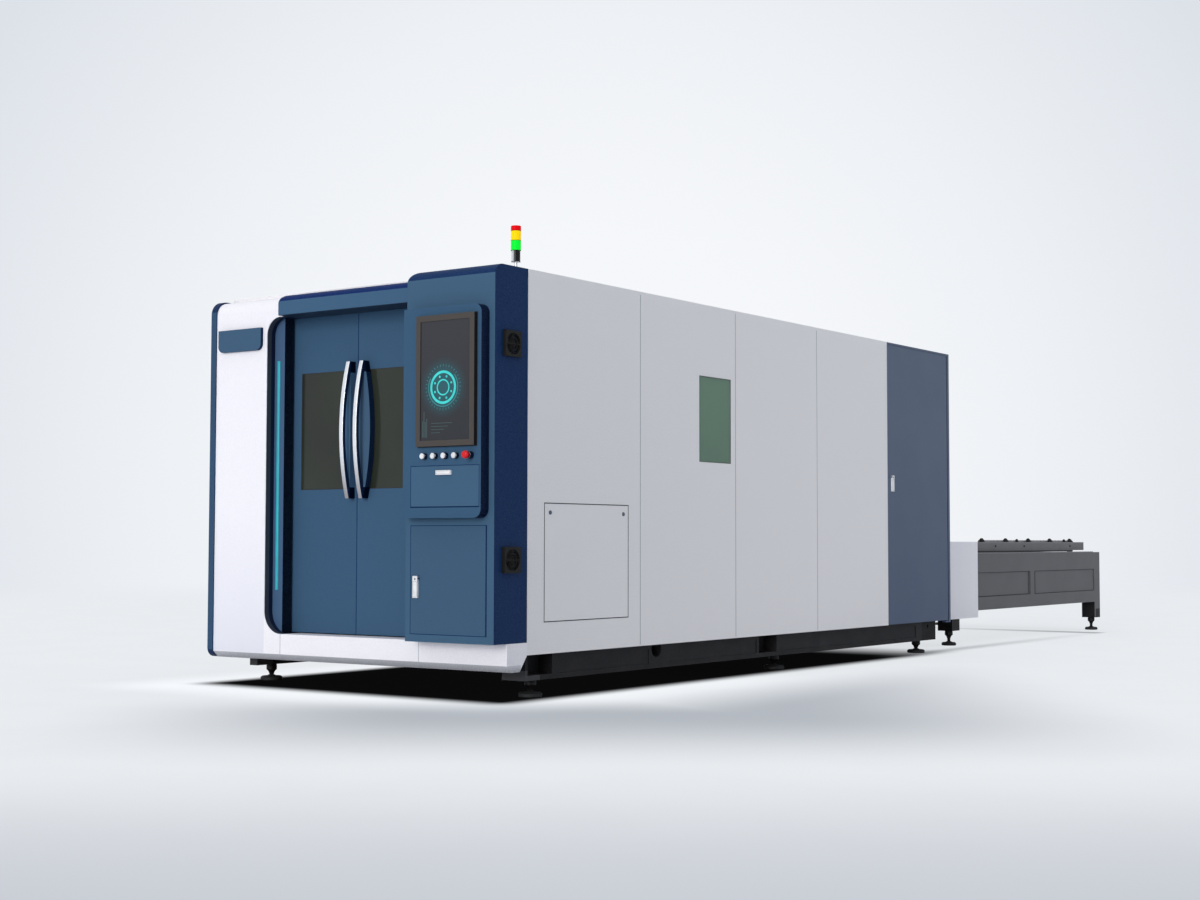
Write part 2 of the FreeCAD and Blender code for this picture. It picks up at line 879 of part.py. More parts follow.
keyboard_cavity = block(
    (flap_start - seam, flap_end + seam),
    (-gauge, flap_cavity),
    (flap_bottom - seam, flap_bottom + flap_height + seam),
)
fan_ducts = [
    rod("x", half - panel_depth * 2, fan_middle, level, fan_bore, panel_depth * 3)
    for level in (fan_upper, fan_lower)
]
parts["console_cabinet"] = cut(
    fuse(cabinet, side_return), hatch_opening, hatch_cavity, hatch_pins_room, keyboard_cavity, *fan_ducts,
)

control_start = console_left + control_left
control_end = half - control_right
control = prism("XZ", [
    (control_start, control_bottom),
    (control_end, control_bottom),
    (control_end, control_top),
    (control_start, control_top),
], -control_stand, 0)
rounded(
    control, control_round,
    {"x": control_end, "z": control_bottom},
    {"x": control_end, "z": control_top},
)
flap_opening = block(
    (flap_start - seam, flap_end + seam),
    (-control_stand - gauge, gauge),
    (flap_bottom - seam, flap_bottom + flap_height + seam),
)
flap_pins_room = rod(
    "x", flap_start - hatch_pin_length - fit_gap, flap_pivot_y, flap_pivot_z,
    hatch_pin + pin_play, flap_width + (hatch_pin_length + fit_gap) * 2,
)
button_places = [console_left + button_first + button_pitch * number for number in range(4)]
estop_place = half - estop_offset
stem_holes = [
    rod("-y", place, gauge, button_level, button_stem + fit_gap, control_stand + gauge * 2)
    for place in button_places + [estop_place]
]
parts["control_panel"] = cut(control, flap_opening, flap_pins_room, *stem_holes)

monitor_end = half - monitor_right
monitor_start = monitor_end - monitor_width
monitor_face = -control_stand - monitor_stand
screen_face = monitor_face + screen_recess
monitor_top = monitor_bottom + monitor_height
parts["monitor_frame"] = cut(
    block((monitor_start, monitor_end), (monitor_face, flap_face), (monitor_bottom, monitor_top)),
    block(
        (monitor_start + bezel - fit_gap, monitor_end - bezel + fit_gap),
        (monitor_face - gauge, screen_face + screen_thick),
        (monitor_bottom + bezel - fit_gap, monitor_top - bezel + fit_gap),
    ),
)
parts["monitor_screen"] = block(
    (monitor_start + bezel, monitor_end - bezel),
    (screen_face, screen_face + screen_thick),
    (monitor_bottom + bezel, monitor_top - bezel),
)


def barrel(place, outer, stand):
    """Fixed collar that guides a push button's stem."""
    bore = button_stem + fit_gap
    return turned("-y", place, -control_stand, button_level, [
        (bore, 0), (outer, 0), (outer, stand - gauge), (outer - gauge, stand), (bore, stand),
    ])


parts["button_barrels"] = group(
    [barrel(place, barrel_radius, barrel_stand) for place in button_places]
    + [barrel(estop_place, barrel_radius + gauge, estop_barrel)]
)
for name, place in zip(("start_button", "pause_button", "stop_button", "reset_button"), button_places):
    head_back = -control_stand - barrel_stand - button_travel
    parts[name] = turned("-y", place, head_back + stem_length, button_level, [
        (0, 0),
        (button_stem, 0),
        (button_stem, stem_length),
        (button_radius, stem_length),
        (button_radius, stem_length + button_head - gauge),
        (button_radius - gauge, stem_length + button_head),
        (0, stem_length + button_head),
    ])
parts["emergency_stop"] = turned(
    "-y", estop_place, stem_length - control_stand - estop_barrel - estop_travel, button_level, [
        (0, 0),
        (button_stem, 0),
        (button_stem, stem_length),
        (estop_neck, stem_length),
        (estop_radius, stem_length + estop_rim_start),
        (estop_radius, stem_length + estop_rim_end),
        (estop_neck, stem_length + estop_shoulder),
        (estop_crown, stem_length + estop_head),
        (0, stem_length + estop_head),
    ],
)

flap = prism("XZ", [
    (flap_start, flap_bottom),
    (flap_end, flap_bottom),
    (flap_end, flap_bottom + flap_height),
    (flap_start, flap_bottom + flap_height),
], flap_face, flap_face + flap_thick)
rounded(
    flap, flap_thick / 2 - pin_play,
    {"y": flap_face, "z": flap_bottom},
    {"y": flap_face + flap_thick, "z": flap_bottom},
)
parts["keyboard_flap"] = fuse(flap, rod(
    "x", flap_start - hatch_pin_length, flap_pivot_y, flap_pivot_z,
    hatch_pin, flap_width + hatch_pin_length * 2,
))
pull_left = (flap_start + flap_end - pull_width) / 2
pull_top = flap_bottom + flap_height - pull_drop
parts["keyboard_pull"] = cut(
    block(
        (pull_left, pull_left + pull_width),
        (flap_face - pull_stand, flap_face),
        (pull_top - pull_height, pull_top),
    ),
    block(
        (pull_left + gauge, pull_left + pull_width - gauge),
        (flap_face - pull_stand + gauge, flap_face - gauge),
        (pull_top - pull_height - gauge, pull_top - gauge * 2),
    ),
)

hatch = prism("XZ", [
    (hatch_start, hatch_bottom),
    (hatch_end, hatch_bottom),
    (hatch_end, hatch_top),
    (hatch_start, hatch_top),
], 0, hatch_thick)
rounded(
    hatch, hatch_thick / 2 - pin_play,
    {"y": 0, "x": hatch_end},
    {"y": hatch_thick, "x": hatch_end},
)
hatch_folds = block(
    (hatch_start + gauge, hatch_end - hatch_edge),
    (gauge, hatch_thick + gauge),
    (hatch_bottom + gauge, hatch_top - gauge),
)


def at_wall(front, across, out, up):
    """Box standing out from the console's front or from the right side wall."""
    if front:
        return block(across, (-out[0], -out[1]), up)
    return block((half + out[0], half + out[1]), across, up)


def pin_at_wall(front, start, out, up, radius, reach):
    """Level pin in front of the console or beside the right side wall."""
    if front:
        return rod("x", start, -out, up, radius, reach)
    return rod("y", half + out, start, up, radius, reach)


def latch_ears(front, near, low):
    """Pair of ears that carry the pin of a lift latch."""
    top = low + latch_height
    ears = [
        at_wall(front, (near + start, near + end), (length(0), latch_thick), (top - ear_height, top))
        for start, end in ((-latch_ear, -fit_gap), (latch_width + fit_gap, latch_width + latch_ear))
    ]
    pin_room = pin_at_wall(
        front, near - latch_ear * 2, latch_thick / 2, top - latch_thick / 2,
        latch_pin + pin_play, latch_width + latch_ear * 4,
    )
    return cut(fuse(*ears), pin_room)


def latch_paddle(front, near, low):
    """Paddle of a lift latch with a rounded top, hung on its pin."""
    pivot = low + latch_height - latch_thick / 2
    return fuse(
        at_wall(front, (near, near + latch_width), (fit_gap, latch_thick - fit_gap), (low, pivot)),
        pin_at_wall(front, near, latch_thick / 2, pivot, latch_thick / 2 - fit_gap, latch_width),
        pin_at_wall(front, near - latch_ear, latch_thick / 2, pivot, latch_pin, latch_width + latch_ear * 2),
    )


latch_left = hatch_start + latch_inset
parts["console_door"] = fuse(
    cut(hatch, hatch_folds),
    rod(
        "z", hatch_pivot_x, hatch_pivot_y, hatch_bottom - hatch_pin_length,
        hatch_pin, hatch_top - hatch_bottom + hatch_pin_length * 2,
    ),
    latch_ears(True, latch_left, latch_bottom),
)
parts["console_latch"] = latch_paddle(True, latch_left, latch_bottom)

# ---------------------------------------------------------------- cooling fans


def fan_guard(level):
    """Fan frame with its round opening, motor spider and wire guard."""
    low = fan_middle - fan_frame / 2
    frame = cut(
        block(
            (half, half + fan_stand),
            (low, low + fan_frame),
            (level - fan_frame / 2, level + fan_frame / 2),
        ),
        rod("x", half - gauge, fan_middle, level, fan_bore, fan_stand + gauge * 2),
    )
    pieces = [frame, rod("x", half, fan_middle, level, fan_hub, fan_spider)]
    outside = (half + fan_stand - gauge, half + fan_stand)
    for depth, bar in (((half, half + fan_spider), fan_spider), (outside, fan_ring)):
        narrow = [(middle - bar, middle + bar) for middle in (fan_middle, level)]
        wide = [(middle - fan_bore, middle + fan_bore) for middle in (fan_middle, level)]
        pieces.append(block(depth, narrow[0], wide[1]))
        pieces.append(block(depth, wide[0], narrow[1]))
    pieces.append(cut(
        rod("x", outside[0], fan_middle, level, fan_ring_radius, gauge),
        rod("x", outside[0] - gauge, fan_middle, level, fan_ring_radius - fan_ring * 2, gauge * 3),
    ))
    return fuse(*pieces)


def fan_rotor(name, level):
    """Hub with pitched blades set round it, just clear of the spider."""
    start = half + fan_spider + fit_gap
    deep = fan_stand - fan_spider - gauge - fit_gap * 2
    hub = Part.makeCylinder(fan_hub.value, deep.value, FreeCAD.Vector(), FreeCAD.Vector(1, 0, 0))
    blade = Part.makeBox(
        blade_length.value, blade_thick.value, fan_tip.value - blade_root.value,
        FreeCAD.Vector(-blade_length.value / 2, -blade_thick.value / 2, blade_root.value),
    )
    blade.rotate(FreeCAD.Vector(), FreeCAD.Vector(0, 0, 1), blade_pitch)
    blade.translate(FreeCAD.Vector(deep.value / 2, 0, 0))
    blades = []
    for number in range(blade_count):
        copy = blade.copy()
        copy.rotate(FreeCAD.Vector(), FreeCAD.Vector(1, 0, 0), 360 / blade_count * number)
        blades.append(copy)
    rotor = doc.addObject("Part::Feature", name)
    rotor.Shape = hub.fuse(blades).removeSplitter()
    put(rotor, start, fan_middle, level)
    return rotor


parts["fan_guards"] = group([fan_guard(fan_upper), fan_guard(fan_lower)])
parts["upper_fan_rotor"] = fan_rotor("upper_rotor", fan_upper)
parts["lower_fan_rotor"] = fan_rotor("lower_rotor", fan_lower)

# ---------------------------------------------------------------- side walls


def wall_panel(side, number, top=wall_top):
    """One folded panel of a side wall, with its folds turned inward."""
    start = console_depth + panel_length * number
    x = (wall_inside, half) if side > 0 else (-half, -wall_inside)
    return tray(x, (start, start + panel_length - seam), (wall_bottom, top), "-x" if side > 0 else "+x")


access_y = (access_front, access_front + access_width)
access_z = (access_bottom, access_bottom + access_height)
cover_back = half - access_thick
access_doubler = block(
    (cover_back - gauge * 2, half),
    (access_y[0] - access_lip, access_y[1] + access_lip),
    (access_z[0] - access_lip, access_z[1] + access_lip),
)
access_seat = block(
    (cover_back - fit_gap, half + gauge),
    (access_y[0] - seam, access_y[1] + seam),
    (access_z[0] - seam, access_z[1] + seam),
)
access_hole = block(
    (wall_inside, half),
    (access_y[0] + access_lip, access_y[1] - access_lip),
    (access_z[0] + access_lip, access_z[1] - access_lip),
)
service_panel = cut(fuse(wall_panel(1, 0), access_doubler), access_seat, access_hole)

window_y = (window_front, window_front + window_width)
window_z = (window_bottom, window_bottom + window_height)
parts["right_wall_panels"] = group([service_panel, wall_panel(1, 2), wall_panel(1, 3)])
parts["right_window_panel"] = cut(wall_panel(1, 1), block((wall_inside, half + gauge), window_y, window_z))
parts["side_window"] = block(
    (half - gauge - window_thick, half - gauge),
    (window_y[0] - pane_lip, window_y[1] + pane_lip),
    (window_z[0] - pane_lip, window_z[1] + pane_lip),
)
head_bottom_line = wall_top - rear_head
parts["left_wall_panels"] = group(
    [wall_panel(-1, number) for number in range(panel_count)]
    + [tray(
        (-half, -wall_inside), (rear_start, rear_end - rear_post - seam),
        (wall_bottom, head_bottom_line - seam), "+x",
    )]
)

lock_level = access_z[1] - lock_inset
lock_places = (access_y[0] + lock_inset, access_y[1] - lock_inset)
lock_holes = [
    rod("x", wall_inside, place, lock_level, lock_stem + pin_play, panel_depth * 2)
    for place in lock_places
]
parts["access_panel"] = cut(block((cover_back, half), access_y, access_z), *lock_holes)
cam_face = cover_back - gauge * 2 - fit_gap
for name, place in zip(("access_lock_front", "access_lock_rear"), lock_places):
    tail = cam_face - gauge * 2
    reach = half - tail + fit_gap
    lock = turned("x", tail, place, lock_level, [
        (0, 0),
        (lock_stem, 0),
        (lock_stem, reach),
        (lock_radius, reach),
        (lock_radius, reach + lock_head - 1),
        (lock_radius - 1, reach + lock_head),
        (0, reach + lock_head),
    ])
    cam = block((tail, cam_face), (place - lock_stem, place + lock_stem), (lock_level, lock_level + lock_cam))
    parts[name] = fuse(lock, cam)

# ---------------------------------------------------------------- rear side door
post_start = rear_end - rear_post
rear_door_back = wall_inside + gauge
rear_door_half = (half - rear_door_back) / 2
rear_door_end = post_start - seam
pivot_x = half - rear_door_half
pivot_y = rear_door_end - rear_door_half
rear_door_bottom = wall_bottom + seam
rear_door_top = head_bottom_line - seam
rear_door = prism("XY", [
    (rear_door_back, rear_start),
    (half, rear_start),
    (half, rear_door_end),
    (rear_door_back, rear_door_end),
], rear_door_bottom, rear_door_top)
rounded(
    rear_door, rear_door_half - pin_play,
    {"x": half, "y": rear_door_end},
    {"x": rear_door_back, "y": rear_door_end},
)
rear_folds = block(
    (wall_inside - gauge, half - gauge),
    (rear_start + gauge, pivot_y - panel_depth),
    (rear_door_bottom + gauge, rear_door_top - gauge),
)
rear_latch_y = rear_start + rear_latch_front
door_pin_bottom = wall_bottom - lug_thick
door_pin_top = wall_top - gauge
parts["rear_side_door"] = fuse(
    cut(rear_door, rear_folds),
    rod("z", pivot_x, pivot_y, door_pin_bottom, rear_pin, door_pin_top - door_pin_bottom),
    latch_ears(False, rear_latch_y, rear_latch_bottom),
)
parts["rear_door_latch"] = latch_paddle(False, rear_latch_y, rear_latch_bottom)

# ---------------------------------------------------------------- rear wall and roof
track_low = track_level - track_drop
opening_side = table_half - pass_gap
opening_bottom = track_low - track_shelf - pass_gap
opening_top = slat_tip + pass_gap
rear_pieces = [block(
    (-wall_inside, wall_inside), (rear_end - panel_depth, rear_end), (wall_bottom, roof_bottom),
)]
for side in (-1, 1):
    x = (wall_inside * side, half * side)
    rear_pieces.append(block(x, (post_start, rear_end), (wall_bottom - lug_thick, wall_top)))
    rear_pieces.append(block(x, (rear_start, rear_end), (head_bottom_line, wall_top)))
rear_pieces.append(block(
    (wall_inside + gauge, half - gauge), (pivot_y - panel_depth / 2, rear_end),
    (wall_bottom - lug_thick, wall_bottom - seam),
))
parts["rear_wall"] = cut(
    fuse(*rear_pieces),
    block(
        (-opening_side, opening_side),
        (rear_end - panel_depth - gauge, rear_end + gauge),
        (opening_bottom, opening_top),
    ),
    rod(
        "z", pivot_x, pivot_y, door_pin_bottom - gauge,
        rear_pin + pin_play, door_pin_top + fit_gap - door_pin_bottom + gauge,
    ),
)

roof = []
for number in range(panel_count + 1):
    start = console_depth + panel_length * number if number else front_back + seam
    end = console_depth + panel_length * (number + 1)
    roof.append(tray((-wall_inside, wall_inside), (start, end - seam), (roof_bottom, wall_top), "-z"))
parts["roof_panels"] = group(roof)

# ---------------------------------------------------------------- bed
bed_pieces = []
bed_cuts = []
pocket_low = bed_bottom + bed_lip
for side in (-1, 1):
    outer = bed_outside * side
    inner = bed_inside * side
    bed_pieces.append(block((inner, outer), (bed_front, bed_side_end), (bed_bottom, rail_seat)))
    bed_pieces.append(block((inner, outer), (bed_side_end, rear_end - panel_depth), (wall_bottom, rail_seat)))
    bed_pieces.append(block(
        (outer - bed_bracket_thick * side, outer), (bed_side_end, bed_bracket_end), (bed_bottom, wall_bottom),
    ))
    bed_pieces.append(block(
        (inner, outer), (bed_side_end, bed_bracket_end), (bed_bottom, bed_bottom + bed_bracket_thick),
    ))
    deep = outer - bed_pocket_depth * side
    proud = outer + gauge * side
    for start, span in (
        (front_pocket_start, front_pocket_length),
        (middle_pocket_start, middle_pocket_length),
    ):
        bed_cuts.append(block((deep, proud), (start, start + span), (pocket_low, wall_bottom)))
    near = deep if side > 0 else proud
    for place, level, radius in (
        (notch_place, wall_bottom - bed_lip, notch_radius),
        (bed_hole_place, bed_hole_level, bed_bracket_hole),
    ):
        bed_cuts.append(rod("x", near, place, level, radius, bed_pocket_depth + gauge))
    shallow = outer - panel_recess * side
    for start, end in (
        (front_pocket_start + front_pocket_length + bed_lip * 2, notch_place - notch_radius - bed_lip),
        (notch_place + notch_radius + bed_lip * 4, middle_pocket_start - bed_lip),
        (middle_pocket_start + middle_pocket_length + bed_lip, bed_side_end - bed_lip * 4),
    ):
        bed_cuts.append(block((shallow, proud), (start, end), (pocket_low, wall_bottom - bed_lip)))
    for level in (track_level, track_low):
        bed_pieces.append(block(
            (inner, (table_half - table_beam - track_reach) * side),
            (bed_front + panel_depth, rear_end - panel_depth),
            (level - track_shelf, level),
        ))
cross_pitch = (bed_side_end - cross_setback - cross_first) / (cross_count - 1)
for number in range(cross_count):
    start = cross_first + cross_pitch * number
    bed_pieces.append(block(
        (-bed_inside, bed_inside), (start, start + cross_member), (cross_top - cross_member, cross_top),
    ))
bed_cuts.append(block(
    (-bed_outside - gauge, -bed_outside + bed_relief),
    (bed_front - gauge, bed_front + bed_relief_length),
    (bed_bottom - gauge, wall_bottom),
))
parts["machine_bed"] = cut(fuse(*bed_pieces), *bed_cuts)

rail_middle = wall_inside - bed_beam / 2
parts["bed_rails"] = group([
    block(
        (rail_middle * side - rail_width / 2, rail_middle * side + rail_width / 2),
        (bed_front + panel_depth, rail_end),
        (rail_seat, rail_seat + rail_height),
    )
    for side in (-1, 1)
])


def levelling_foot(x, y, top):
    """Levelling foot: splayed base, threaded stem and the nut under what it carries."""
    return turned("z", x, y, 0, [
        (0, 0),
        (foot_radius, 0),
        (foot_radius, foot_rim),
        (foot_collar, foot_slope),
        (foot_stem, foot_collar_top),
        (foot_stem, top - foot_nut_taper),
        (foot_nut, top - foot_nut),
        (foot_nut, top),
        (0, top),
    ])


leg_far = table_end - leg_length
leg_middle = table_half - leg_width / 2
feet = []
for side in (-1, 1):
    for y in (foot_first, foot_middle, foot_last):
        feet.append(levelling_foot((rail_middle - foot_offset) * side, y, bed_bottom))
    for y in (leg_near + leg_length / 2, leg_far + leg_length / 2):
        feet.append(levelling_foot(leg_middle * side, y, leg_bottom))
parts["levelling_feet"] = group(feet)

# ---------------------------------------------------------------- shuttle table
table_pieces = []
table_cuts = []
for side in (-1, 1):
    outer = table_half * side
    inner = (table_half - table_beam) * side
    table_pieces.append(block((inner, outer), (rear_end, table_end), (table_bottom, table_top)))
    for level in (track_level, track_low):
        table_pieces.append(block(
            (inner, (table_half - table_beam - track_reach) * side),
            (rear_end, table_end - table_beam),
            (level - track_shelf, level),
        ))
    for start in (leg_near, leg_far):
        table_pieces.append(block(
            ((table_half - leg_width) * side, outer),
            (start, start + leg_length),
            (leg_bottom, table_bottom + gauge),
        ))
    for start, end in ((shroud_end, table_post), (table_post + table_post_width, leg_far)):
        table_cuts.append(block(
            (outer - table_recess * side, outer + gauge * side),
            (start, end),
            (table_recess_bottom, table_recess_top),
        ))
table_pieces.append(block(
    (-table_half, table_half), (table_end - table_beam, table_end), (table_bottom, table_top),
))
for start in (leg_near, leg_far):
    table_pieces.append(block(
        (-table_half, table_half), (start, start + leg_length), (table_bottom, table_recess_bottom),
    ))
parts["shuttle_frame"] = cut(fuse(*table_pieces), *table_cuts)
shroud_lengths, shroud_heights = (rear_end, shroud_end), (shroud_bottom, shroud_top)
parts["table_shrouds"] = group([
    tray((table_half, table_half + shroud_depth), shroud_lengths, shroud_heights, "-x"),
    tray((-table_half - shroud_depth, -table_half), shroud_lengths, shroud_heights, "+x"),
])

# ---------------------------------------------------------------- pallets
pallet_half = pallet_width / 2


def pallet(shift, drop):
    """Welded pallet frame on its track wheels, with locating studs along both rails."""
    end = pallet_end - shift
    start = end - pallet_length
    low = pallet_bottom - drop
    high = pallet_top - drop
    pieces = []
    for side in (-1, 1):
        outer = pallet_half * side
        inner = (pallet_half - pallet_rail) * side
        pieces.append(block((inner, outer), (start, end), (low, high)))
        for number in range(wheel_count):
            gap = (pallet_length - wheel_inset * 2) / (wheel_count - 1)
            wheel_x = (pallet_half - wheel_width * 2) * side
            pieces.append(rod(
                "x", wheel_x if side > 0 else wheel_x - wheel_width, start + wheel_inset + gap * number,
                track_level - drop + fit_gap + wheel_radius, wheel_radius, wheel_width,
            ))
        for number in range(stud_count):
            stud = doc.addObject("Part::Cone", "stud")
            stud.setExpression("Radius1", stud_radius.text)
            stud.setExpression("Radius2", stud_tip.text)
            stud.setExpression("Height", stud_rise.text)
            put(
                stud, (pallet_half - pallet_rail / 2) * side,
                start + stud_margin + stud_pitch * number, high,
            )
            pieces.append(stud)
    for place in (start, end - pallet_rail):
        pieces.append(block((-pallet_half, pallet_half), (place, place + pallet_rail), (low, high)))
    return fuse(*pieces)


def slats(shift, drop):
    """Toothed support slats set across a pallet, seated between its rails."""
    reach = pallet_half - pallet_rail
    tip = pallet_top - drop
    root = tip - (slat_tip - slat_root)
    low = pallet_bottom - drop
    outline = [(-reach, low), (reach, low), (reach, root)]
    tooth = reach * 2 / tooth_count
    for number in range(tooth_count):
        outline.append((reach - tooth * (number + 0.5), tip))
        outline.append((reach - tooth * (number + 1), root))
    first = pallet_end - shift - pallet_length + slat_margin
    slat_pitch = (pallet_length - slat_margin * 2) / (slat_count - 1)
    return group([
        prism("XZ", outline, first + slat_pitch * number, first + slat_pitch * number + slat_thick)
        for number in range(slat_count)
    ])


parts["outer_pallet"] = pallet(length(0), length(0))
parts["outer_slats"] = slats(length(0), length(0))
parts["inner_pallet"] = pallet(pallet_travel, track_drop)
parts["inner_slats"] = slats(pallet_travel, track_drop)

# ---------------------------------------------------------------- gantry and cutting head
gantry_end = gantry_start + gantry_depth
gantry_top = gantry_bottom + gantry_height
beam_half = wall_inside - gantry_side_gap
beam = cut(
    block((-beam_half, beam_half), (gantry_start, gantry_end), (gantry_bottom, gantry_top)),
    block(
        (-beam_half - gauge, beam_half + gauge),
        (gantry_start + gantry_wall, gantry_end - gantry_wall),
        (gantry_bottom + gantry_wall, gantry_top - gantry_wall),
    ),
)
trucks = []
for side in (-1, 1):
    middle = rail_middle * side
    start = (gantry_start + gantry_end - block_length) / 2
    trucks.append(cut(
        block(
            (middle - block_half, middle + block_half),
            (start, start + block_length),
            (rail_seat + block_clear, gantry_bottom),
        ),
        block(
            (middle - rail_width / 2 - fit_gap, middle + rail_width / 2 + fit_gap),
            (start - gauge, start + block_length + gauge),
            (rail_seat, rail_seat + rail_height + fit_gap),
        ),
    ))
parts["gantry_beam"] = fuse(beam, *trucks)
rail_levels = (gantry_bottom + beam_rail_inset, gantry_top - beam_rail_inset - beam_rail)
rail_front = gantry_start - beam_rail
parts["beam_rails"] = group([
    block((-beam_half, beam_half), (rail_front, gantry_start), (level, level + beam_rail))
    for level in rail_levels
])
carriage_back = rail_front + beam_rail / 2
carriage_front = rail_front - carriage_thick
parts["cross_carriage"] = cut(
    block(
        (-carriage_width / 2, carriage_width / 2),
        (carriage_front, carriage_back),
        (gantry_bottom - carriage_drop, gantry_top + carriage_rise),
    ),
    *[
        block(
            (-carriage_width, carriage_width),
            (rail_front - fit_gap, gantry_start),
            (level - fit_gap, level + beam_rail + fit_gap),
        )
        for level in rail_levels
    ],
)
head_back = carriage_front - fit_gap
head = block(
    (-head_width / 2, head_width / 2),
    (head_back - head_depth, head_back),
    (head_bottom, head_bottom + head_height),
)
nozzle = turned("z", 0, head_back - head_depth / 2, nozzle_bottom, [
    (0, 0),
    (nozzle_radius / 8, 0),
    (nozzle_radius / 2, (head_bottom - nozzle_bottom) / 3),
    (nozzle_radius, (head_bottom - nozzle_bottom) / 2),
    (nozzle_radius, head_bottom - nozzle_bottom + gauge),
    (0, head_bottom - nozzle_bottom + gauge),
])
parts["cutting_head"] = fuse(head, nozzle)

# ---------------------------------------------------------------- laser source
source_top = rail_seat + source_height
source_side = wall_inside - source_clear
source = block(
    (source_side - source_depth, source_side),
    (source_start, source_start + source_length),
    (rail_seat, source_top),
)
vents = [
    block(
        (source_side - gauge * 2, source_side + gauge),
        (source_start + panel_depth * 2, source_start + source_length - panel_depth * 2),
        (source_top - vent_pitch * (number + 2), source_top - vent_pitch * (number + 2) + vent_height),
    )
    for number in range(source_vents)
]
parts["laser_source"] = cut(source, *vents)

# ---------------------------------------------------------------- signal tower
tower_x = half - tower_inset
tower_socket = wall_top + tower_stem_height
tower_green = tower_socket + tower_base_height
tower_yellow = tower_green + tower_green_height
tower_red = tower_yellow + tower_yellow_height
tower_top = tower_red + tower_red_height


def tower_piece(low, high, radius):
    """One tier of the signal tower, with a small groove under its rim."""
    tall = high - low
    return turned("z", tower_x, tower_place, low, [
        (0, 0), (radius - 1, 0), (radius, 1), (radius, tall - 2), (radius - 2, tall), (0, tall),
    ])


parts["signal_base"] = fuse(
    rod("z", tower_x, tower_place, wall_top, tower_stem, tower_socket - wall_top + gauge),
    tower_piece(tower_socket, tower_green, tower_base_radius),
)
parts["signal_green"] = tower_piece(tower_green, tower_yellow, tower_radius)
parts["signal_yellow"] = tower_piece(tower_yellow, tower_red, tower_radius)
parts["signal_red"] = tower_piece(tower_red, tower_top, tower_radius)

# ---------------------------------------------------------------- finish
doc.recompute()
for label, part in parts.items():
    part.Label = label
failed = [thing.Name for thing in doc.Objects if "Invalid" in thing.State or "Error" in thing.State]
for label, part in parts.items():
    if part.Shape.isNull() or not part.Shape.isValid() or not part.Shape.Solids:
        failed.append(label)
if failed:
    raise RuntimeError("pieces that did not build: " + ", ".join(failed))
os.makedirs("parts", exist_ok=True)
for label, part in parts.items():
    part.Shape.exportStep("parts/%s.step" % label)
print(len(parts), "pieces")
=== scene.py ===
import math

import bmesh
import bpy
import numpy as np
from mathutils import Matrix, Vector


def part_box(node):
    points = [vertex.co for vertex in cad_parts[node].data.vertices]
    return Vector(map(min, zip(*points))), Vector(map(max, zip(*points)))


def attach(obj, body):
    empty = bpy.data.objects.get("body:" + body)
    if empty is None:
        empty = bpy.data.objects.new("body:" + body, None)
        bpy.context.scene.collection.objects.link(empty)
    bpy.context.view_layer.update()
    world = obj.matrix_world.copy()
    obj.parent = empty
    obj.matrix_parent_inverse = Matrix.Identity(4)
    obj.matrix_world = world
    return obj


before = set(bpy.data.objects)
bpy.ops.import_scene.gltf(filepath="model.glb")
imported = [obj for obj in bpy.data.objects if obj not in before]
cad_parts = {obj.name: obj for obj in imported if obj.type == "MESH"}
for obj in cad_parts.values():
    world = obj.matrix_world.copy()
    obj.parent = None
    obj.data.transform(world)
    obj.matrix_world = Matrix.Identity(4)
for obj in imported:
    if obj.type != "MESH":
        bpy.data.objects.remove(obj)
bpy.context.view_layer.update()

# Looks of a sheet-metal laser cutting machine: paints, glass, lamps, trim, screws and the
# operating page on the console's screen. Metres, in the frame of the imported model. Places
# are written in millimetres from the middle between the side walls, the face of the
# console and the floor.
MM = 0.001
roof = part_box("roof_panels")
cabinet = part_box("console_cabinet")
MIDDLE = (roof[0][0] + roof[1][0]) / 2
FACE = cabinet[0][1]
# Faces that pieces are laid on, in mm: outward from the middle at the sides, and elsewhere
# backward from the console's face.
WALL_FACE, TABLE_FACE, POST_FACE, FAN_FACE, REAR_LATCH_FACE = 1085.0, 802.0, 810, 1103, 1097
PLINTH_FACE, DOOR_FACE, CUPBOARD_FACE, LATCH_FACE, PANEL_FACE = 107, 250, 0, -12, -64
PULL_FACE, SCREEN_FACE, BUTTON_FACE, STOP_FACE = -76, -84, -94, -122
CAMERA_PLACE = (6.638, -11.461, 0.81)


def at(x, y, z):
    """Places in the frame of points given in millimetres from the machine's own datums."""
    parts = np.broadcast_arrays(MIDDLE + np.asarray(x) * MM, FACE + np.asarray(y) * MM, np.asarray(z) * MM)
    return np.stack(parts, -1).astype(float)


# ---------------------------------------------------------------- camera, light and floor
def set_camera():
    """Camera at the photographed angle: turned about the upright, tipped up, then rolled."""
    data = bpy.data.cameras.new("view")
    data.lens = 53.44
    data.sensor_width = 36
    data.clip_end = 400
    camera = bpy.data.objects.new("view", data)
    bpy.context.scene.collection.objects.link(camera)
    turned_by, tipped_by, rolled_by = math.radians(35.508), math.radians(92.920), math.radians(0.102)
    turn = Matrix.Rotation(turned_by, 4, "Z")
    tip = Matrix.Rotation(tipped_by, 4, "X")
    roll = Matrix.Rotation(rolled_by, 4, "Z")
    camera.matrix_world = Matrix.Translation(CAMERA_PLACE) @ turn @ tip @ roll
    bpy.context.scene.camera = camera


def linear(code):
    """Linear colour of a hexadecimal screen colour."""
    parts = np.array([int(code[k:k + 2], 16) for k in (0, 2, 4)]) / 255
    parts = np.where(parts <= 0.04045, parts / 12.92, ((parts + 0.055) / 1.055) ** 2.4)
    return tuple(float(part) for part in parts) + (1.0,)


def toned(code, factor):
    """Linear colour of a screen colour, each part times a factor and at most one."""
    return tuple(min(1.0, part * factor) for part in linear(code)[:3]) + (1.0,)


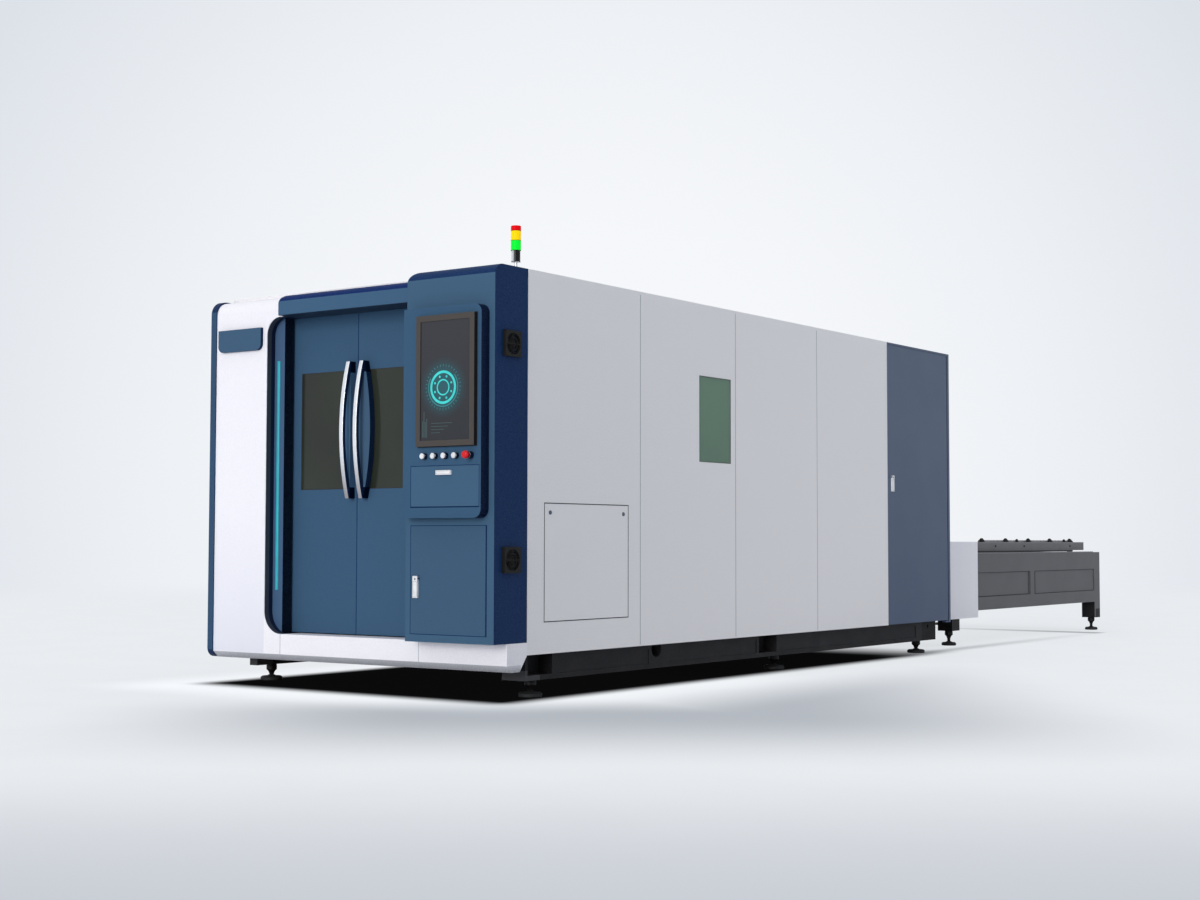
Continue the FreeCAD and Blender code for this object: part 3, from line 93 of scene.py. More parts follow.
class Board:
    """Lays nodes in one tree: plain values are set on sockets and outputs are linked to them."""

    def __init__(self, tree):
        self.tree = tree

    def filled(self, node, inputs):
        for key, value in inputs.items():
            if isinstance(value, bpy.types.NodeSocket):
                self.feed(value, node.inputs[key])
            else:
                node.inputs[key].default_value = value
        return node.outputs

    def add(self, kind, inputs=None, **settings):
        """Outputs of a new node with its settings and inputs."""
        node = self.tree.nodes.new(kind)
        for key, value in settings.items():
            setattr(node, key, value)
        return self.filled(node, inputs or {})

    def placed(self, tree, inputs):
        """Outputs of a node group set in this tree."""
        node = self.tree.nodes.new("ShaderNodeGroup")
        node.node_tree = tree
        return self.filled(node, inputs)

    def feed(self, value, socket):
        """Link an output to an input."""
        self.tree.links.new(value, socket)

    def calc(self, operation, *values):
        """One sum of numbers."""
        return self.add("ShaderNodeMath", dict(enumerate(values)), operation=operation)[0]

    def all_of(self, *masks):
        """Product of masks: one where all of them are one."""
        whole = masks[0]
        for mask in masks[1:]:
            whole = self.calc("MULTIPLY", whole, mask)
        return whole

    def blend(self, factor, first, second):
        """Colour that goes from the first to the second with the factor."""
        inputs = {0: factor, 6: first, 7: second}
        return self.add("ShaderNodeMix", inputs, data_type="RGBA")[2]

    def step(self, value, low, high):
        """Nought below the low mark, one above the high one, and smooth between."""
        inputs = {"Value": value, "From Min": low, "From Max": high}
        return self.add("ShaderNodeMapRange", inputs, interpolation_type="SMOOTHSTEP")[0]

    def fall(self, value, low, high):
        """One below the low mark, nought above the high one, and smooth between."""
        return self.calc("SUBTRACT", 1.0, self.step(value, low, high))

    def climb(self, value, low, high):
        """Straight rise from nought at the low mark to one at the high one."""
        return self.add("ShaderNodeMapRange", {"Value": value, "From Min": low, "From Max": high})[0]

    def noise(self, scale, detail=3.0):
        """Noise over the piece's own place in space."""
        place = self.add("ShaderNodeTexCoord")["Object"]
        return self.add("ShaderNodeTexNoise", {"Vector": place, "Scale": scale, "Detail": detail})[0]

    def along(self):
        """The piece's own place in space as X, Y and Z."""
        place = self.add("ShaderNodeTexCoord")["Object"]
        return self.add("ShaderNodeSeparateXYZ", {0: place})

    def apart(self, value, place):
        """Distance between a value and a place on its axis."""
        return self.calc("ABSOLUTE", self.calc("SUBTRACT", value, place))

    def inside(self, low, high):
        """Mask that is one between two corners of a box, told from the piece's own place in space."""
        axes = self.along()
        return self.all_of(*[
            self.all_of(self.calc("GREATER_THAN", axes[axis], float(start)),
                        self.calc("LESS_THAN", axes[axis], float(end)))
            for axis, start, end in zip("XYZ", low, high)
        ])


def new_group(name, inputs, outputs):
    """Node group with named inputs and outputs: its tree, its board, its given inputs and its outputs."""
    tree = bpy.data.node_groups.new(name, "ShaderNodeTree")
    kinds = {"colour": "NodeSocketColor", "value": "NodeSocketFloat", "vector": "NodeSocketVector"}
    for label, kind in inputs.items():
        tree.interface.new_socket(label, in_out="INPUT", socket_type=kinds[kind])
    for label, kind in outputs.items():
        tree.interface.new_socket(label, in_out="OUTPUT", socket_type=kinds[kind])
    given = tree.nodes.new("NodeGroupInput").outputs
    return tree, Board(tree), given, tree.nodes.new("NodeGroupOutput").inputs


def powder_group():
    """Fine mottle of a powder coat: one noise mixes paint and fleck, a finer one gives the height."""
    tree, board, given, out = new_group(
        "powder_mottle",
        {"Paint": "colour", "Fleck": "colour", "Amount": "value", "Scale": "value"},
        {"Colour": "colour", "Height": "value"},
    )
    coarse = board.noise(given["Scale"], 4.0)
    mask = board.calc("MULTIPLY", board.step(coarse, 0.42, 0.66), given["Amount"])
    board.feed(board.blend(mask, given["Paint"], given["Fleck"]), out["Colour"])
    fine = board.noise(board.calc("MULTIPLY", given["Scale"], 3.0), 2.0)
    board.feed(fine, out["Height"])
    return tree


# How far behind its foremost plane a place still counts as front.
FACE_DEPTH = 1.2 * MM


def side_shade_group():
    """Front faces get one paint and all that lies behind them a darker one, painted shade on sides and folds,
    told by depth alone.
    """
    tree, board, given, out = new_group(
        "front_and_side_shade",
        {"Front": "colour", "Side": "colour", "Face": "value", "Second face": "value"},
        {"Colour": "colour"},
    )
    depth = board.along()["Y"]
    near = board.calc("LESS_THAN", depth, given["Face"])
    level = board.calc("COMPARE", depth, given["Second face"], FACE_DEPTH)
    mask = board.calc("MAXIMUM", near, level)
    board.feed(board.blend(mask, given["Side"], given["Front"]), out["Colour"])
    return tree


def brushed_group():
    """Brushing lines: noise drawn out a hundredfold along one axis."""
    tree, board, given, out = new_group(
        "brushed_lines",
        {"Stretch": "vector", "Amount": "value"},
        {"Height": "value", "Roughness": "value"},
    )
    place = board.add("ShaderNodeTexCoord")["Object"]
    drawn = board.add("ShaderNodeVectorMath", {0: place, 1: given["Stretch"]}, operation="MULTIPLY")[0]
    lines = board.add("ShaderNodeTexNoise", {"Vector": drawn, "Scale": 1.0, "Detail": 3.0})[0]
    board.feed(lines, out["Height"])
    rough = board.calc("MULTIPLY_ADD", lines, given["Amount"], 0.2)
    board.feed(rough, out["Roughness"])
    return tree


def soil_group():
    """Dust that thins out with height over the floor, broken up by noise."""
    tree, board, given, out = new_group(
        "floor_soil", {"Reach": "value", "Amount": "value"}, {"Mask": "value"},
    )
    height = board.along()["Z"]
    low = board.calc("SUBTRACT", 1.0, board.calc("DIVIDE", height, given["Reach"]))
    low = board.calc("MAXIMUM", low, 0.0)
    patches = board.step(board.noise(9.0, 5.0), 0.35, 0.7)
    board.feed(board.all_of(low, patches, given["Amount"]), out["Mask"])
    return tree


def backdrop_group():
    """Pale backdrop, palest straight behind the machine: told from the angle to one fixed direction."""
    tree, board, given, out = new_group("backdrop_tone", {"Direction": "vector"}, {"Colour": "colour"})
    ahead = board.add("ShaderNodeVectorMath", {0: given["Direction"]}, operation="NORMALIZE")[0]
    palest = (-0.58, 0.813, 0.051)
    aligned = board.add("ShaderNodeVectorMath", {0: ahead, 1: palest}, operation="DOT_PRODUCT")[1]
    near = board.climb(aligned, 0.925, 0.993)
    board.feed(board.blend(near, linear("dde2e9"), linear("f5f7fa")), out["Colour"])
    return tree


POWDER = powder_group()
SIDE_SHADE = side_shade_group()
BRUSHED = brushed_group()
SOIL = soil_group()
BACKDROP = backdrop_group()


def blank(name, **fixed):
    """Material with one Principled shader; the given plain values go on its own sockets."""
    made = bpy.data.materials.new(name)
    made.use_nodes = True
    shader = made.node_tree.nodes["Principled BSDF"]
    for key, value in fixed.items():
        shader.inputs[key.replace("_", " ")].default_value = value
    return made, Board(made.node_tree), shader


def bumped(board, shader, height, strength, distance):
    """Feed a height through a Bump node to the shader's normal."""
    bump = board.add("ShaderNodeBump", {"Height": height, "Strength": strength, "Distance": distance})[0]
    board.feed(bump, shader.inputs["Normal"])


def coat(name, paint, fleck, amount=0.5, scale=150.0, rough=0.45, bump=0.15, soil=0.0, side=None,
         face=0.0, second=0.0, level=0.3, gloss=0.0, metal=0.0, light_and_shade_zones=(), shade_fades=()):
    """Powder coat: mottle, bump, patchy gloss, dust low down, boxes of painted light and shade in other
    paints, and painted shade that pales upward.
    """
    made, board, shader = blank(
        name, Specular_IOR_Level=level, Coat_Weight=gloss, Coat_Roughness=0.12, Metallic=metal,
    )
    base = linear(paint)
    # A side paint darkens all that lies behind the front face: painted shade.
    if side:
        base = board.placed(SIDE_SHADE, {
            "Front": base, "Side": linear(side), "Face": face + FACE_DEPTH, "Second face": second or face,
        })["Colour"]
    for low, high, other in light_and_shade_zones:
        mask = board.inside(low, high)
        base = board.blend(mask, base, linear(other))
        amount = board.calc("MULTIPLY", board.calc("SUBTRACT", 1.0, mask), amount)
    for low, high, bottom, top in shade_fades:
        climb = board.climb(board.along()["Z"], float(low[2]), float(high[2]))
        tone = board.blend(climb, linear(bottom), linear(top))
        base = board.blend(board.inside(low, high), base, tone)
    mottle = board.placed(POWDER, {
        "Paint": base, "Fleck": linear(fleck), "Amount": amount, "Scale": scale,
    })
    colour = mottle["Colour"]
    if soil:
        dust = board.placed(SOIL, {"Reach": 0.45, "Amount": soil})["Mask"]
        colour = board.blend(dust, colour, linear("8a857c"))
    board.feed(colour, shader.inputs["Base Color"])
    patchy = board.calc("MULTIPLY_ADD", board.noise(4.0, 3.0), 0.16, rough - 0.08)
    board.feed(patchy, shader.inputs["Roughness"])
    bumped(board, shader, mottle["Height"], bump, 0.0006)
    return made


def metal(name, colour, rough, stretch, lines=0.25, stain=None, stained=0.0, shade_fade=None):
    """Bare metal: brushing lines in height and roughness, heat or oil stains, painted shade that pales
    upward.
    """
    made, board, shader = blank(name, Metallic=0.9, Specular_IOR_Level=0.5)
    brushed = board.placed(BRUSHED, {"Stretch": stretch, "Amount": rough})
    tone = board.blend(board.step(brushed["Height"], 0.3, 0.75), linear(colour), toned(colour, 1.25))
    if stain:
        patches = board.calc("MULTIPLY", board.step(board.noise(16.0, 6.0), 0.45, 0.62), stained)
        tone = board.blend(patches, tone, linear(stain))
    if shade_fade:
        climb = board.step(board.along()["Z"], shade_fade[0] * MM, shade_fade[1] * MM)
        tone = board.blend(climb, linear(shade_fade[2]), tone)
    board.feed(tone, shader.inputs["Base Color"])
    board.feed(brushed["Roughness"], shader.inputs["Roughness"])
    bumped(board, shader, brushed["Height"], lines, 0.0003)
    return made


def moulded(name, colour, rough=0.35, grain=600.0, bump=0.08, level=0.5, glow=0.0):
    """Moulded plastic: fine grain in the height and a slow drift of tone."""
    made, board, shader = blank(name, Specular_IOR_Level=level, Emission_Strength=glow)
    drift = board.step(board.noise(11.0, 3.0), 0.3, 0.7)
    tone = board.blend(drift, linear(colour), toned(colour, 0.86))
    board.feed(tone, shader.inputs["Base Color"])
    if glow:
        board.feed(tone, shader.inputs["Emission Color"])
    fine = board.noise(grain, 2.0)
    board.feed(board.calc("MULTIPLY_ADD", fine, 0.14, rough - 0.07), shader.inputs["Roughness"])
    bumped(board, shader, fine, bump, 0.0002)
    return made


def ribbed_lamp(name, colour, glow):
    """Clear lamp body: upright ribs told by height, and a soft light from inside."""
    made, board, shader = blank(name, Roughness=0.3, Specular_IOR_Level=0.12, Emission_Strength=glow)
    height = board.along()["Z"]
    wave = board.calc("SINE", board.calc("MULTIPLY", height, 1400.0))
    tone = board.blend(board.step(wave, -1.0, 1.0), linear(colour), toned(colour, 0.72))
    board.feed(tone, shader.inputs["Base Color"])
    board.feed(tone, shader.inputs["Emission Color"])
    bumped(board, shader, wave, 0.25, 0.001)
    return made


def tinted_glass(name, colour, edge, clear):
    """Filter glass: its tint deepens slowly over the pane, and smears change the gloss."""
    made, board, shader = blank(name, Transmission_Weight=clear, Specular_IOR_Level=0.35, IOR=1.45)
    drift = board.step(board.noise(1.6, 2.0), 0.3, 0.75)
    board.feed(board.blend(drift, linear(colour), linear(edge)), shader.inputs["Base Color"])
    smear = board.noise(5.0, 5.0)
    board.feed(board.calc("MULTIPLY_ADD", smear, 0.1, 0.06), shader.inputs["Roughness"])
    return made


def set_world():
    """Even light that grows with the square of the height it comes from; seen rays meet the backdrop."""
    world = bpy.data.worlds.new("studio")
    world.use_nodes = True
    board = Board(world.node_tree)
    back = world.node_tree.nodes["Background"].inputs
    rays = board.add("ShaderNodeLightPath")
    seen = board.calc("MAXIMUM", rays["Is Camera Ray"], rays["Is Transmission Ray"])
    seen = board.calc("MAXIMUM", seen, rays["Is Glossy Ray"])
    around = board.add("ShaderNodeTexCoord")["Generated"]
    up = board.add("ShaderNodeSeparateXYZ", {0: around})["Z"]
    from_above, from_level = 1.13, 0.186
    lift = board.calc("MULTIPLY_ADD", board.calc("MULTIPLY", up, up), from_above, from_level)
    shown = board.placed(BACKDROP, {"Direction": around})["Colour"]
    sky = board.blend(board.step(up, 0.0, 0.42), linear("f4f6fa"), linear("f2f5fb"))
    board.feed(board.blend(seen, sky, shown), back["Color"])
    strength = board.add("ShaderNodeMix", {0: seen, 2: lift, 3: 1.0}, data_type="FLOAT")[0]
    board.feed(strength, back["Strength"])
    bpy.context.scene.world = world


def set_lamp():
    """One soft low lamp ahead of the machine."""
    lamp = bpy.data.lights.new("key", "SUN")
    lamp.energy = 1.72
    lamp.angle = math.radians(32)
    lamp.color = (1.0, 0.985, 0.97)
    key = bpy.data.objects.new("key", lamp)
    bpy.context.scene.collection.objects.link(key)
    key.rotation_mode = "QUATERNION"
    key.rotation_quaternion = Vector((-0.13, 0.96, -0.2)).to_track_quat("-Z", "Y")


def floor_shade(board, x, y, front):
    """Floor's paint by place: dimmer far ahead, a painted pool of shade ahead of the machine, the machine's
    painted shadow under its bed, and the table's painted shadow lines.
    """
    rear, end = (float(at(0, place, 0)[1]) for place in (5150, 8640))
    side = float(at(1000, 0, 0)[0])
    ahead = (0.581, -0.814)
    toward = board.calc("MULTIPLY_ADD", x, ahead[0], board.calc("MULTIPLY", y, ahead[1]))
    aside = board.calc("MULTIPLY_ADD", x, -ahead[1], board.calc("MULTIPLY", y, ahead[0]))
    shade = board.blend(board.step(toward, 6.6, 9.4), linear("f7fafd"), linear("d6dae1"))
    # A painted pool of shade on the floor ahead of the machine.
    rise = board.calc("MAXIMUM", board.step(toward, 3.9, 4.8), board.step(x, 1.35, 2.3))
    off_shade_pool = board.calc("ABSOLUTE", board.calc("ADD", aside, 1.2))
    painted_shade_pool = board.all_of(rise, board.fall(toward, 4.9, 6.9), board.fall(off_shade_pool, 0.8, 2.7))
    shade = board.blend(board.calc("MULTIPLY", painted_shade_pool, 0.85), shade, linear("b4bac2"))
    grain = board.step(board.noise(2.0, 4.0), 0.3, 0.8)
    shade = board.blend(board.calc("MULTIPLY", grain, 0.04), shade, linear("c8ccd2"))
    # The machine's painted shadow on the floor under its bed.
    painted_bed_shadow = board.all_of(
        board.fall(board.calc("ABSOLUTE", x), 1.0, 1.22),
        board.step(y, front - 0.16, front + 0.1),
        board.fall(y, rear - 0.6, rear + 0.5),
    )
    shade = board.blend(painted_bed_shadow, shade, linear("0c0c0d"))
    # The table's painted shadow: lines along its side and across its end.
    shadow_beside_table = board.all_of(
        board.fall(board.apart(x, side), 0.0, 0.15),
        board.fall(y, rear - 1.5, end + 0.6),
        board.step(y, rear - 0.8, rear),
    )
    shadow_across_table = board.all_of(
        board.fall(board.apart(y, end), 0.02, 0.2),
        board.step(x, -1.2, side),
        board.fall(x, side, side + 0.08),
    )
    painted_table_shadow = board.calc("MULTIPLY", board.calc("MAXIMUM", shadow_beside_table, shadow_across_table), 0.6)
    return board.blend(painted_table_shadow, shade, linear("6c6f75"))


def set_floor():
    """Pale floor, lit and partly even, with a painted glow of light by the front; far away it is the
    backdrop.
    """
    made = bpy.data.materials.new("pale_floor")
    made.use_nodes = True
    made.node_tree.nodes.remove(made.node_tree.nodes["Principled BSDF"])
    board = Board(made.node_tree)
    axes = board.along()
    x, y = axes["X"], axes["Y"]
    front = float(at(0, 60, 0)[1])
    shade = floor_shade(board, x, y, front)
    # A painted glow of light on the floor near the machine's front.
    near = board.all_of(
        board.fall(board.calc("ABSOLUTE", x), 1.1, 1.7),
        board.step(y, front - 0.7, front - 0.2),
        board.fall(y, front + 1.5, front + 3.0),
    )
    plain = board.add("ShaderNodeBsdfDiffuse", {"Color": shade})[0]
    strength = board.calc("MULTIPLY_ADD", near, 0.16, 0.9)
    even = board.add("ShaderNodeEmission", {"Color": shade, "Strength": strength})[0]
    seen = board.calc("MULTIPLY", board.add("ShaderNodeLightPath")["Is Camera Ray"], 0.8)
    lit = board.add("ShaderNodeMixShader", {0: seen, 1: plain, 2: even})[0]
    onward = board.add("ShaderNodeVectorMath", {
        0: board.add("ShaderNodeTexCoord")["Object"], 1: CAMERA_PLACE}, operation="SUBTRACT")[0]
    tone = board.placed(BACKDROP, {"Direction": onward})["Colour"]
    away = board.add("ShaderNodeEmission", {"Color": tone, "Strength": 1.0})[0]
    squares = board.calc("ADD", board.calc("MULTIPLY", x, x), board.calc("MULTIPLY", y, y))
    far = board.step(board.calc("SQRT", squares), 10.5, 24.0)
    mixed = board.add("ShaderNodeMixShader", {0: far, 1: lit, 2: away})[0]
    board.feed(mixed, made.node_tree.nodes["Material Output"].inputs["Surface"])
    reach = 150
    corners = [(-reach, -reach, 0), (reach, -reach, 0), (reach, reach, 0), (-reach, reach, 0)]
    mesh = bpy.data.meshes.new("floor")
    mesh.from_pydata(corners, [], [(0, 1, 2, 3)])
    mesh.materials.append(made)
    floor = bpy.data.objects.new("floor", mesh)
    bpy.context.scene.collection.objects.link(floor)


# ---------------------------------------------------------------- ways of making pieces
AXES = {
    "x": np.array([[0, 1, 0], [0, 0, 1], [1, 0, 0]], float),
    "-x": np.array([[0, -1, 0], [0, 0, 1], [-1, 0, 0]], float),
    "-y": np.array([[1, 0, 0], [0, 0, 1], [0, -1, 0]], float),
    "z": np.array([[1, 0, 0], [0, 1, 0], [0, 0, 1]], float),
    "-z": np.array([[1, 0, 0], [0, -1, 0], [0, 0, -1]], float),
}


def net(points, wrap_rows=False, wrap_columns=False):
    """Points of an (m, n, 3) grid with quads between neighbours; a wrap joins last to first."""
    rows, columns = points.shape[:2]
    numbers = np.arange(rows * columns).reshape(rows, columns)
    if wrap_rows:
        numbers = np.vstack([numbers, numbers[:1]])
    if wrap_columns:
        numbers = np.hstack([numbers, numbers[:, :1]])
    corners = (numbers[:-1, :-1], numbers[:-1, 1:], numbers[1:, 1:], numbers[1:, :-1])
    return points.reshape(-1, 3), np.stack(corners, -1).reshape(-1, 4).tolist()


def capped(points):
    """Skin over rows of a grid whose first and last rows are each closed by one face."""
    count = points.shape[1]
    points, faces = net(points, wrap_columns=True)
    last = points.shape[0] - count
    return points, faces + [list(range(count)), list(range(last, last + count))]


def turned(centre, axis, profile, count=32):
    """Profile of (radius, height) pairs in mm carried round an axis through the centre."""
    radius, height = np.array(profile, float).T * MM
    turn = np.linspace(0, 2 * np.pi, count, endpoint=False)
    across, up, out = AXES[axis]
    flat = np.outer(radius, np.cos(turn))[..., None] * across + np.outer(radius, np.sin(turn))[..., None] * up
    return capped(flat + height[:, None, None] * out + centre)


def ring(centre, axis, radius, wire):
    """Torus: a small circle of the wire's radius carried round a circle of the ring's radius."""
    turn = np.linspace(0, 2 * np.pi, 40, endpoint=False)[:, None]
    small = np.linspace(0, 2 * np.pi, 8, endpoint=False)[None, :]
    reach = (radius + wire * np.cos(small)) * MM
    across, up, out = AXES[axis]
    points = (
        (reach * np.cos(turn))[..., None] * across + (reach * np.sin(turn))[..., None] * up
        + (wire * MM * np.sin(small) + 0 * turn)[..., None] * out + centre
    )
    return net(points, True, True)


def carried(path, outline, side, lift):
    """Closed outline of (sideways, outward) pairs carried along a path of points; ends are closed."""
    sideways = outline[None, :, :1] * side[:, None, :]
    outward = outline[None, :, 1:] * lift[:, None, :]
    return capped(path[:, None, :] + sideways + outward)


def slab(low, high):
    """Box between two corners."""
    low, high = np.minimum(low, high), np.maximum(low, high)
    bits = np.array([[(k >> b) & 1 for b in range(3)] for k in range(8)])
    faces = [[0, 1, 3, 2], [4, 6, 7, 5], [0, 4, 5, 1], [2, 3, 7, 6], [0, 2, 6, 4], [1, 5, 7, 3]]
    return low + bits * (high - low), faces


def copies(shape, places):
    """The same shape set at many places: every point is added to every place."""
    points, faces = shape
    places = np.asarray(places, float)
    moved = (points[None] + places[:, None]).reshape(-1, 3)
    count = points.shape[0]
    return moved, [
        [number + count * turn for number in face] for turn in range(len(places)) for face in faces
    ]


def piece(name, shapes, finish, body, smooth=40):
    """One object from several closed shapes, with its normals outward, its finish and its body."""
    points, faces, start = [], [], 0
    for place, sides in shapes:
        points.append(place)
        faces.extend([[number + start for number in side] for side in sides])
        start += len(place)
    mesh = bpy.data.meshes.new(name)
    mesh.from_pydata(np.vstack(points), [], faces)
    work = bmesh.new()
    work.from_mesh(mesh)
    bmesh.ops.remove_doubles(work, verts=work.verts, dist=1e-6)
    bmesh.ops.recalc_face_normals(work, faces=work.faces)
    work.to_mesh(mesh)
    work.free()
    mesh.shade_smooth()
    mesh.set_sharp_from_angle(angle=math.radians(smooth))
    mesh.materials.append(finish)
    made = bpy.data.objects.new(name, mesh)
    bpy.context.scene.collection.objects.link(made)
    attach(made, body)


def on_face(axis, plane, across, up, raised):
    """Places on an upright face, in mm: "x" looks out of the right wall, "-y" out of the front."""
    if axis == "x":
        return at(plane + raised, across, up)
    if axis == "-x":
        return at(-plane - raised, across, up)
    return at(across, plane - raised, up)


def border(axis, plane, low, high, outline):
    """Closed outline of (outward, raised) pairs carried round a rectangle and mitred at its corners."""
    turns = np.array([[-1, -1], [1, -1], [1, 1], [-1, 1]], float)
    outline = np.array(outline, float)
    corners = np.where(turns > 0, high, low)
    flat = corners[:, None, :] + turns[:, None, :] * outline[None, :, :1]
    return net(on_face(axis, plane, flat[..., 0], flat[..., 1], outline[None, :, 1]), True, True)


def bead(half, height, shift=0.0, root=-0.6):
    """Outline of a seal: flat root, upright flanks and a half-round crown."""
    turn = np.linspace(0, np.pi, 7)
    crown = np.stack([shift + half * np.cos(turn), height * (0.35 + 0.65 * np.sin(turn))], 1)
    return np.vstack([[[shift + half, root]], crown, [[shift - half, root]]])


LINE_ROOT = -0.4


def stroke(axis, plane, start, end, half, height):
    """Straight raised line between two points of a face: a box with its length along the line."""
    start, end = np.array(start, float), np.array(end, float)
    along = (end - start) / np.linalg.norm(end - start)
    side = np.array([-along[1], along[0]]) * half
    flat = np.array([start - side, start + side, end + side, end - side])
    levels = np.array([LINE_ROOT, height])
    return capped(on_face(axis, plane, flat[None, :, 0], flat[None, :, 1], levels[:, None]))


def arc_line(axis, plane, centre, radius, half, height, start=0.0, end=360.0, count=72):
    """Raised line along an arc: a box section carried through the turn between two angles."""
    whole = abs(end - start) >= 360.0
    turn = np.radians(np.linspace(start, end, count, endpoint=not whole))[:, None]
    section = np.array([[-half, LINE_ROOT], [half, LINE_ROOT], [half, height], [-half, height]])
    reach = radius + section[None, :, 0]
    points = on_face(
        axis, plane, centre[0] + reach * np.cos(turn), centre[1] + reach * np.sin(turn), section[None, :, 1],
    )
    return net(points, True, True) if whole else capped(points)


bpy.context.scene.view_settings.view_transform = "Standard"
set_camera()
set_world()
set_lamp()
set_floor()

# ---------------------------------------------------------------- finishes of the CAD nodes
# The navy is the handles' own paint and also the painted shade on the blue coats' sides and folds.
BLUE, NAVY_AND_SHADE = "3f5b75", "12294f"


def depth_of(node):
    """Front face of a node."""
    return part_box(node)[0][1]


def band(start, end, low, high, *paints):
    """Box over the machine's whole width, between two depths and two levels, with the paint or fade of its
    painted light and shade.
    """
    return (at(-2000, start, low), at(2000, end, high), *paints)


# The plinth's lower fold is painted shade that pales upward. The column ends where the recess starts, and its
# white return there is painted as shade: grey on the reveal first, then navy near-black in the depth. The
# column's lower part is painted shade that pales upward.
PLINTH_FOLD_SHADE = [band(105, 220, 140, 183.5, "88898f", "cccdd3")]
COLUMN_EDGE, HEADER_FOOT = -638.5, 2055.5
COLUMN = coat(
    "column_coat", "f5f3f8", "e3e3eb", amount=0.5, scale=230.0, rough=0.5, soil=0.03, light_and_shade_zones=[
        (at(COLUMN_EDGE, 110.5, 292.5), at(-300, 142, HEADER_FOOT), "3d434d"),
        (at(COLUMN_EDGE, 142, 292.5), at(-300, 400, HEADER_FOOT), "061536"),
    ],
    shade_fades=PLINTH_FOLD_SHADE + [(at(-2000, 60, 184), at(COLUMN_EDGE, 220, 1000), "e3e4ed", "f5f3f8")],
)
# Painted shade above the rails, and a painted highlight on a paler rim just below that on the outer pallet.
PALLET = coat(
    "pallet_coat", "69696b", "5f5f61", amount=0.4, scale=140.0, rough=0.5, bump=0.15, soil=0.05,
    light_and_shade_zones=[
        band(0, 20000, 806.5, 900, "0b0b0c"),
        band(5800, 20000, 797, 806.5, "7b797c"),
    ],
)
door_face = at(0, DOOR_FACE, 0)[1]


def blue(name, node, second=0.0, paint=BLUE, side=NAVY_AND_SHADE, light_and_shade_zones=()):
    """Satin blue coat whose sides and folds behind the front faces get a darker paint as painted shade."""
    return coat(
        name, paint, "4a6884", amount=0.2, scale=240.0, rough=0.45, bump=0.05,
        side=side, face=depth_of(node), second=second, level=0.06, light_and_shade_zones=light_and_shade_zones,
    )


def leaf_blue(name, node, paint, start, end, pad, back):
    """Door leaf's coat: the handle's pad face is painted paler as painted light against the handle's shadow,
    and the pad's two ends, where the handle stands on it, are painted near-black navy as painted shade.
    """
    front, low, high, reach, end_shade = 205, 1099, 1726, 69, "051028"
    return blue(name, node, second=door_face, paint=paint, light_and_shade_zones=[
        (at(start, front, low), at(end, back, high), pad),
        (at(start, front, low - reach), at(end, DOOR_FACE - 1, low), end_shade),
        (at(start, front, high), at(end, DOOR_FACE - 1, high + reach), end_shade),
    ])


# The plinth's lower fold is painted shade that pales upward.
WHITE = coat(
    "white_coat", "f5f3f8", "e3e3eb", amount=0.5, scale=230.0, rough=0.5, soil=0.03, shade_fades=PLINTH_FOLD_SHADE,
)
WALL = coat("wall_grey_coat", "efeeef", "dcdcdf", amount=0.6, scale=210.0, rough=0.55, bump=0.15, soil=0.03)
NAVY_COAT = coat(
    "navy_coat", NAVY_AND_SHADE, "1c3560", amount=0.3, scale=240.0, rough=0.36, bump=0.05, level=0.2, gloss=0.1,
)
BARREL = coat("barrel_coat", "08132e", "0b1836", amount=0.3, scale=300.0, rough=0.3, level=0.2)
# The rear door and wall are painted darker toward the floor: painted shade.
REAR = coat(
    "rear_door_coat", "526177", "4a586e", amount=0.4, scale=240.0, rough=0.42, bump=0.06, level=0.2,
    shade_fades=[band(4000, 6000, 0, 1500, "43526e", "526177")],
)
# Painted shade makes the rear end near the floor almost black, and painted light makes the front foot a
# little paler.
BED = coat(
    "bed_dark_coat", "242426", "1b1b1d", amount=0.6, scale=90.0, rough=0.6, bump=0.3, soil=0.03,
    level=0.12, light_and_shade_zones=[
        band(4960, 5400, 0, 239, "0a0a0b"),
        band(300, 430, 90, 148, "47474a"),
    ],
)
# Painted shade makes it nearly black close to the machine and at the rear legs, and a painted highlight gives
# a paler lip along the top.
TABLE = coat(
    "table_grey_coat", "656567", "5c5c5e", amount=0.4, scale=140.0, rough=0.5, bump=0.15, soil=0.03,
    level=0.15, light_and_shade_zones=[
        band(5300, 7000, 0, 259.5, "09090a"),
        band(9118, 9122, 0, 259.5, "18181a"),
        band(9145, 9256, 0, 195, "050505"),
        band(6000, 9300, 714, 730, "8b8b8e"),
    ],
)
BLACK = coat(
    "black_steel_coat", "101011", "1b1b1c", amount=0.4, scale=160.0, rough=0.42, bump=0.15, soil=0.05,
    level=0.2,
)
LOCK = coat("lock_coat", "4a5568", "3e495c", amount=0.4, scale=300.0, rough=0.35, level=0.4)
# The handles' bright strips are painted darker low down: painted shade.
SILVER = metal(
    "satin_trim", "eceef2", rough=0.34, stretch=(500.0, 500.0, 6.0), lines=0.08, shade_fade=(1000, 1330, "a3a0a2"),
)
GROUND = metal("ground_rail", "9fa1a5", rough=0.3, stretch=(700.0, 5.0, 700.0))
SLAT = metal("slat_steel", "6c6b6a", rough=0.5, stretch=(5.0, 500.0, 500.0), stain="3a322c", stained=0.7)
TEETH = metal("cut_slat_edges", "8a888b", rough=0.5, stretch=(5.0, 500.0, 500.0), stain="57504b", stained=0.5)
CAST = metal("beam_aluminium", "b9bbbe", rough=0.42, stretch=(6.0, 300.0, 300.0), lines=0.15)
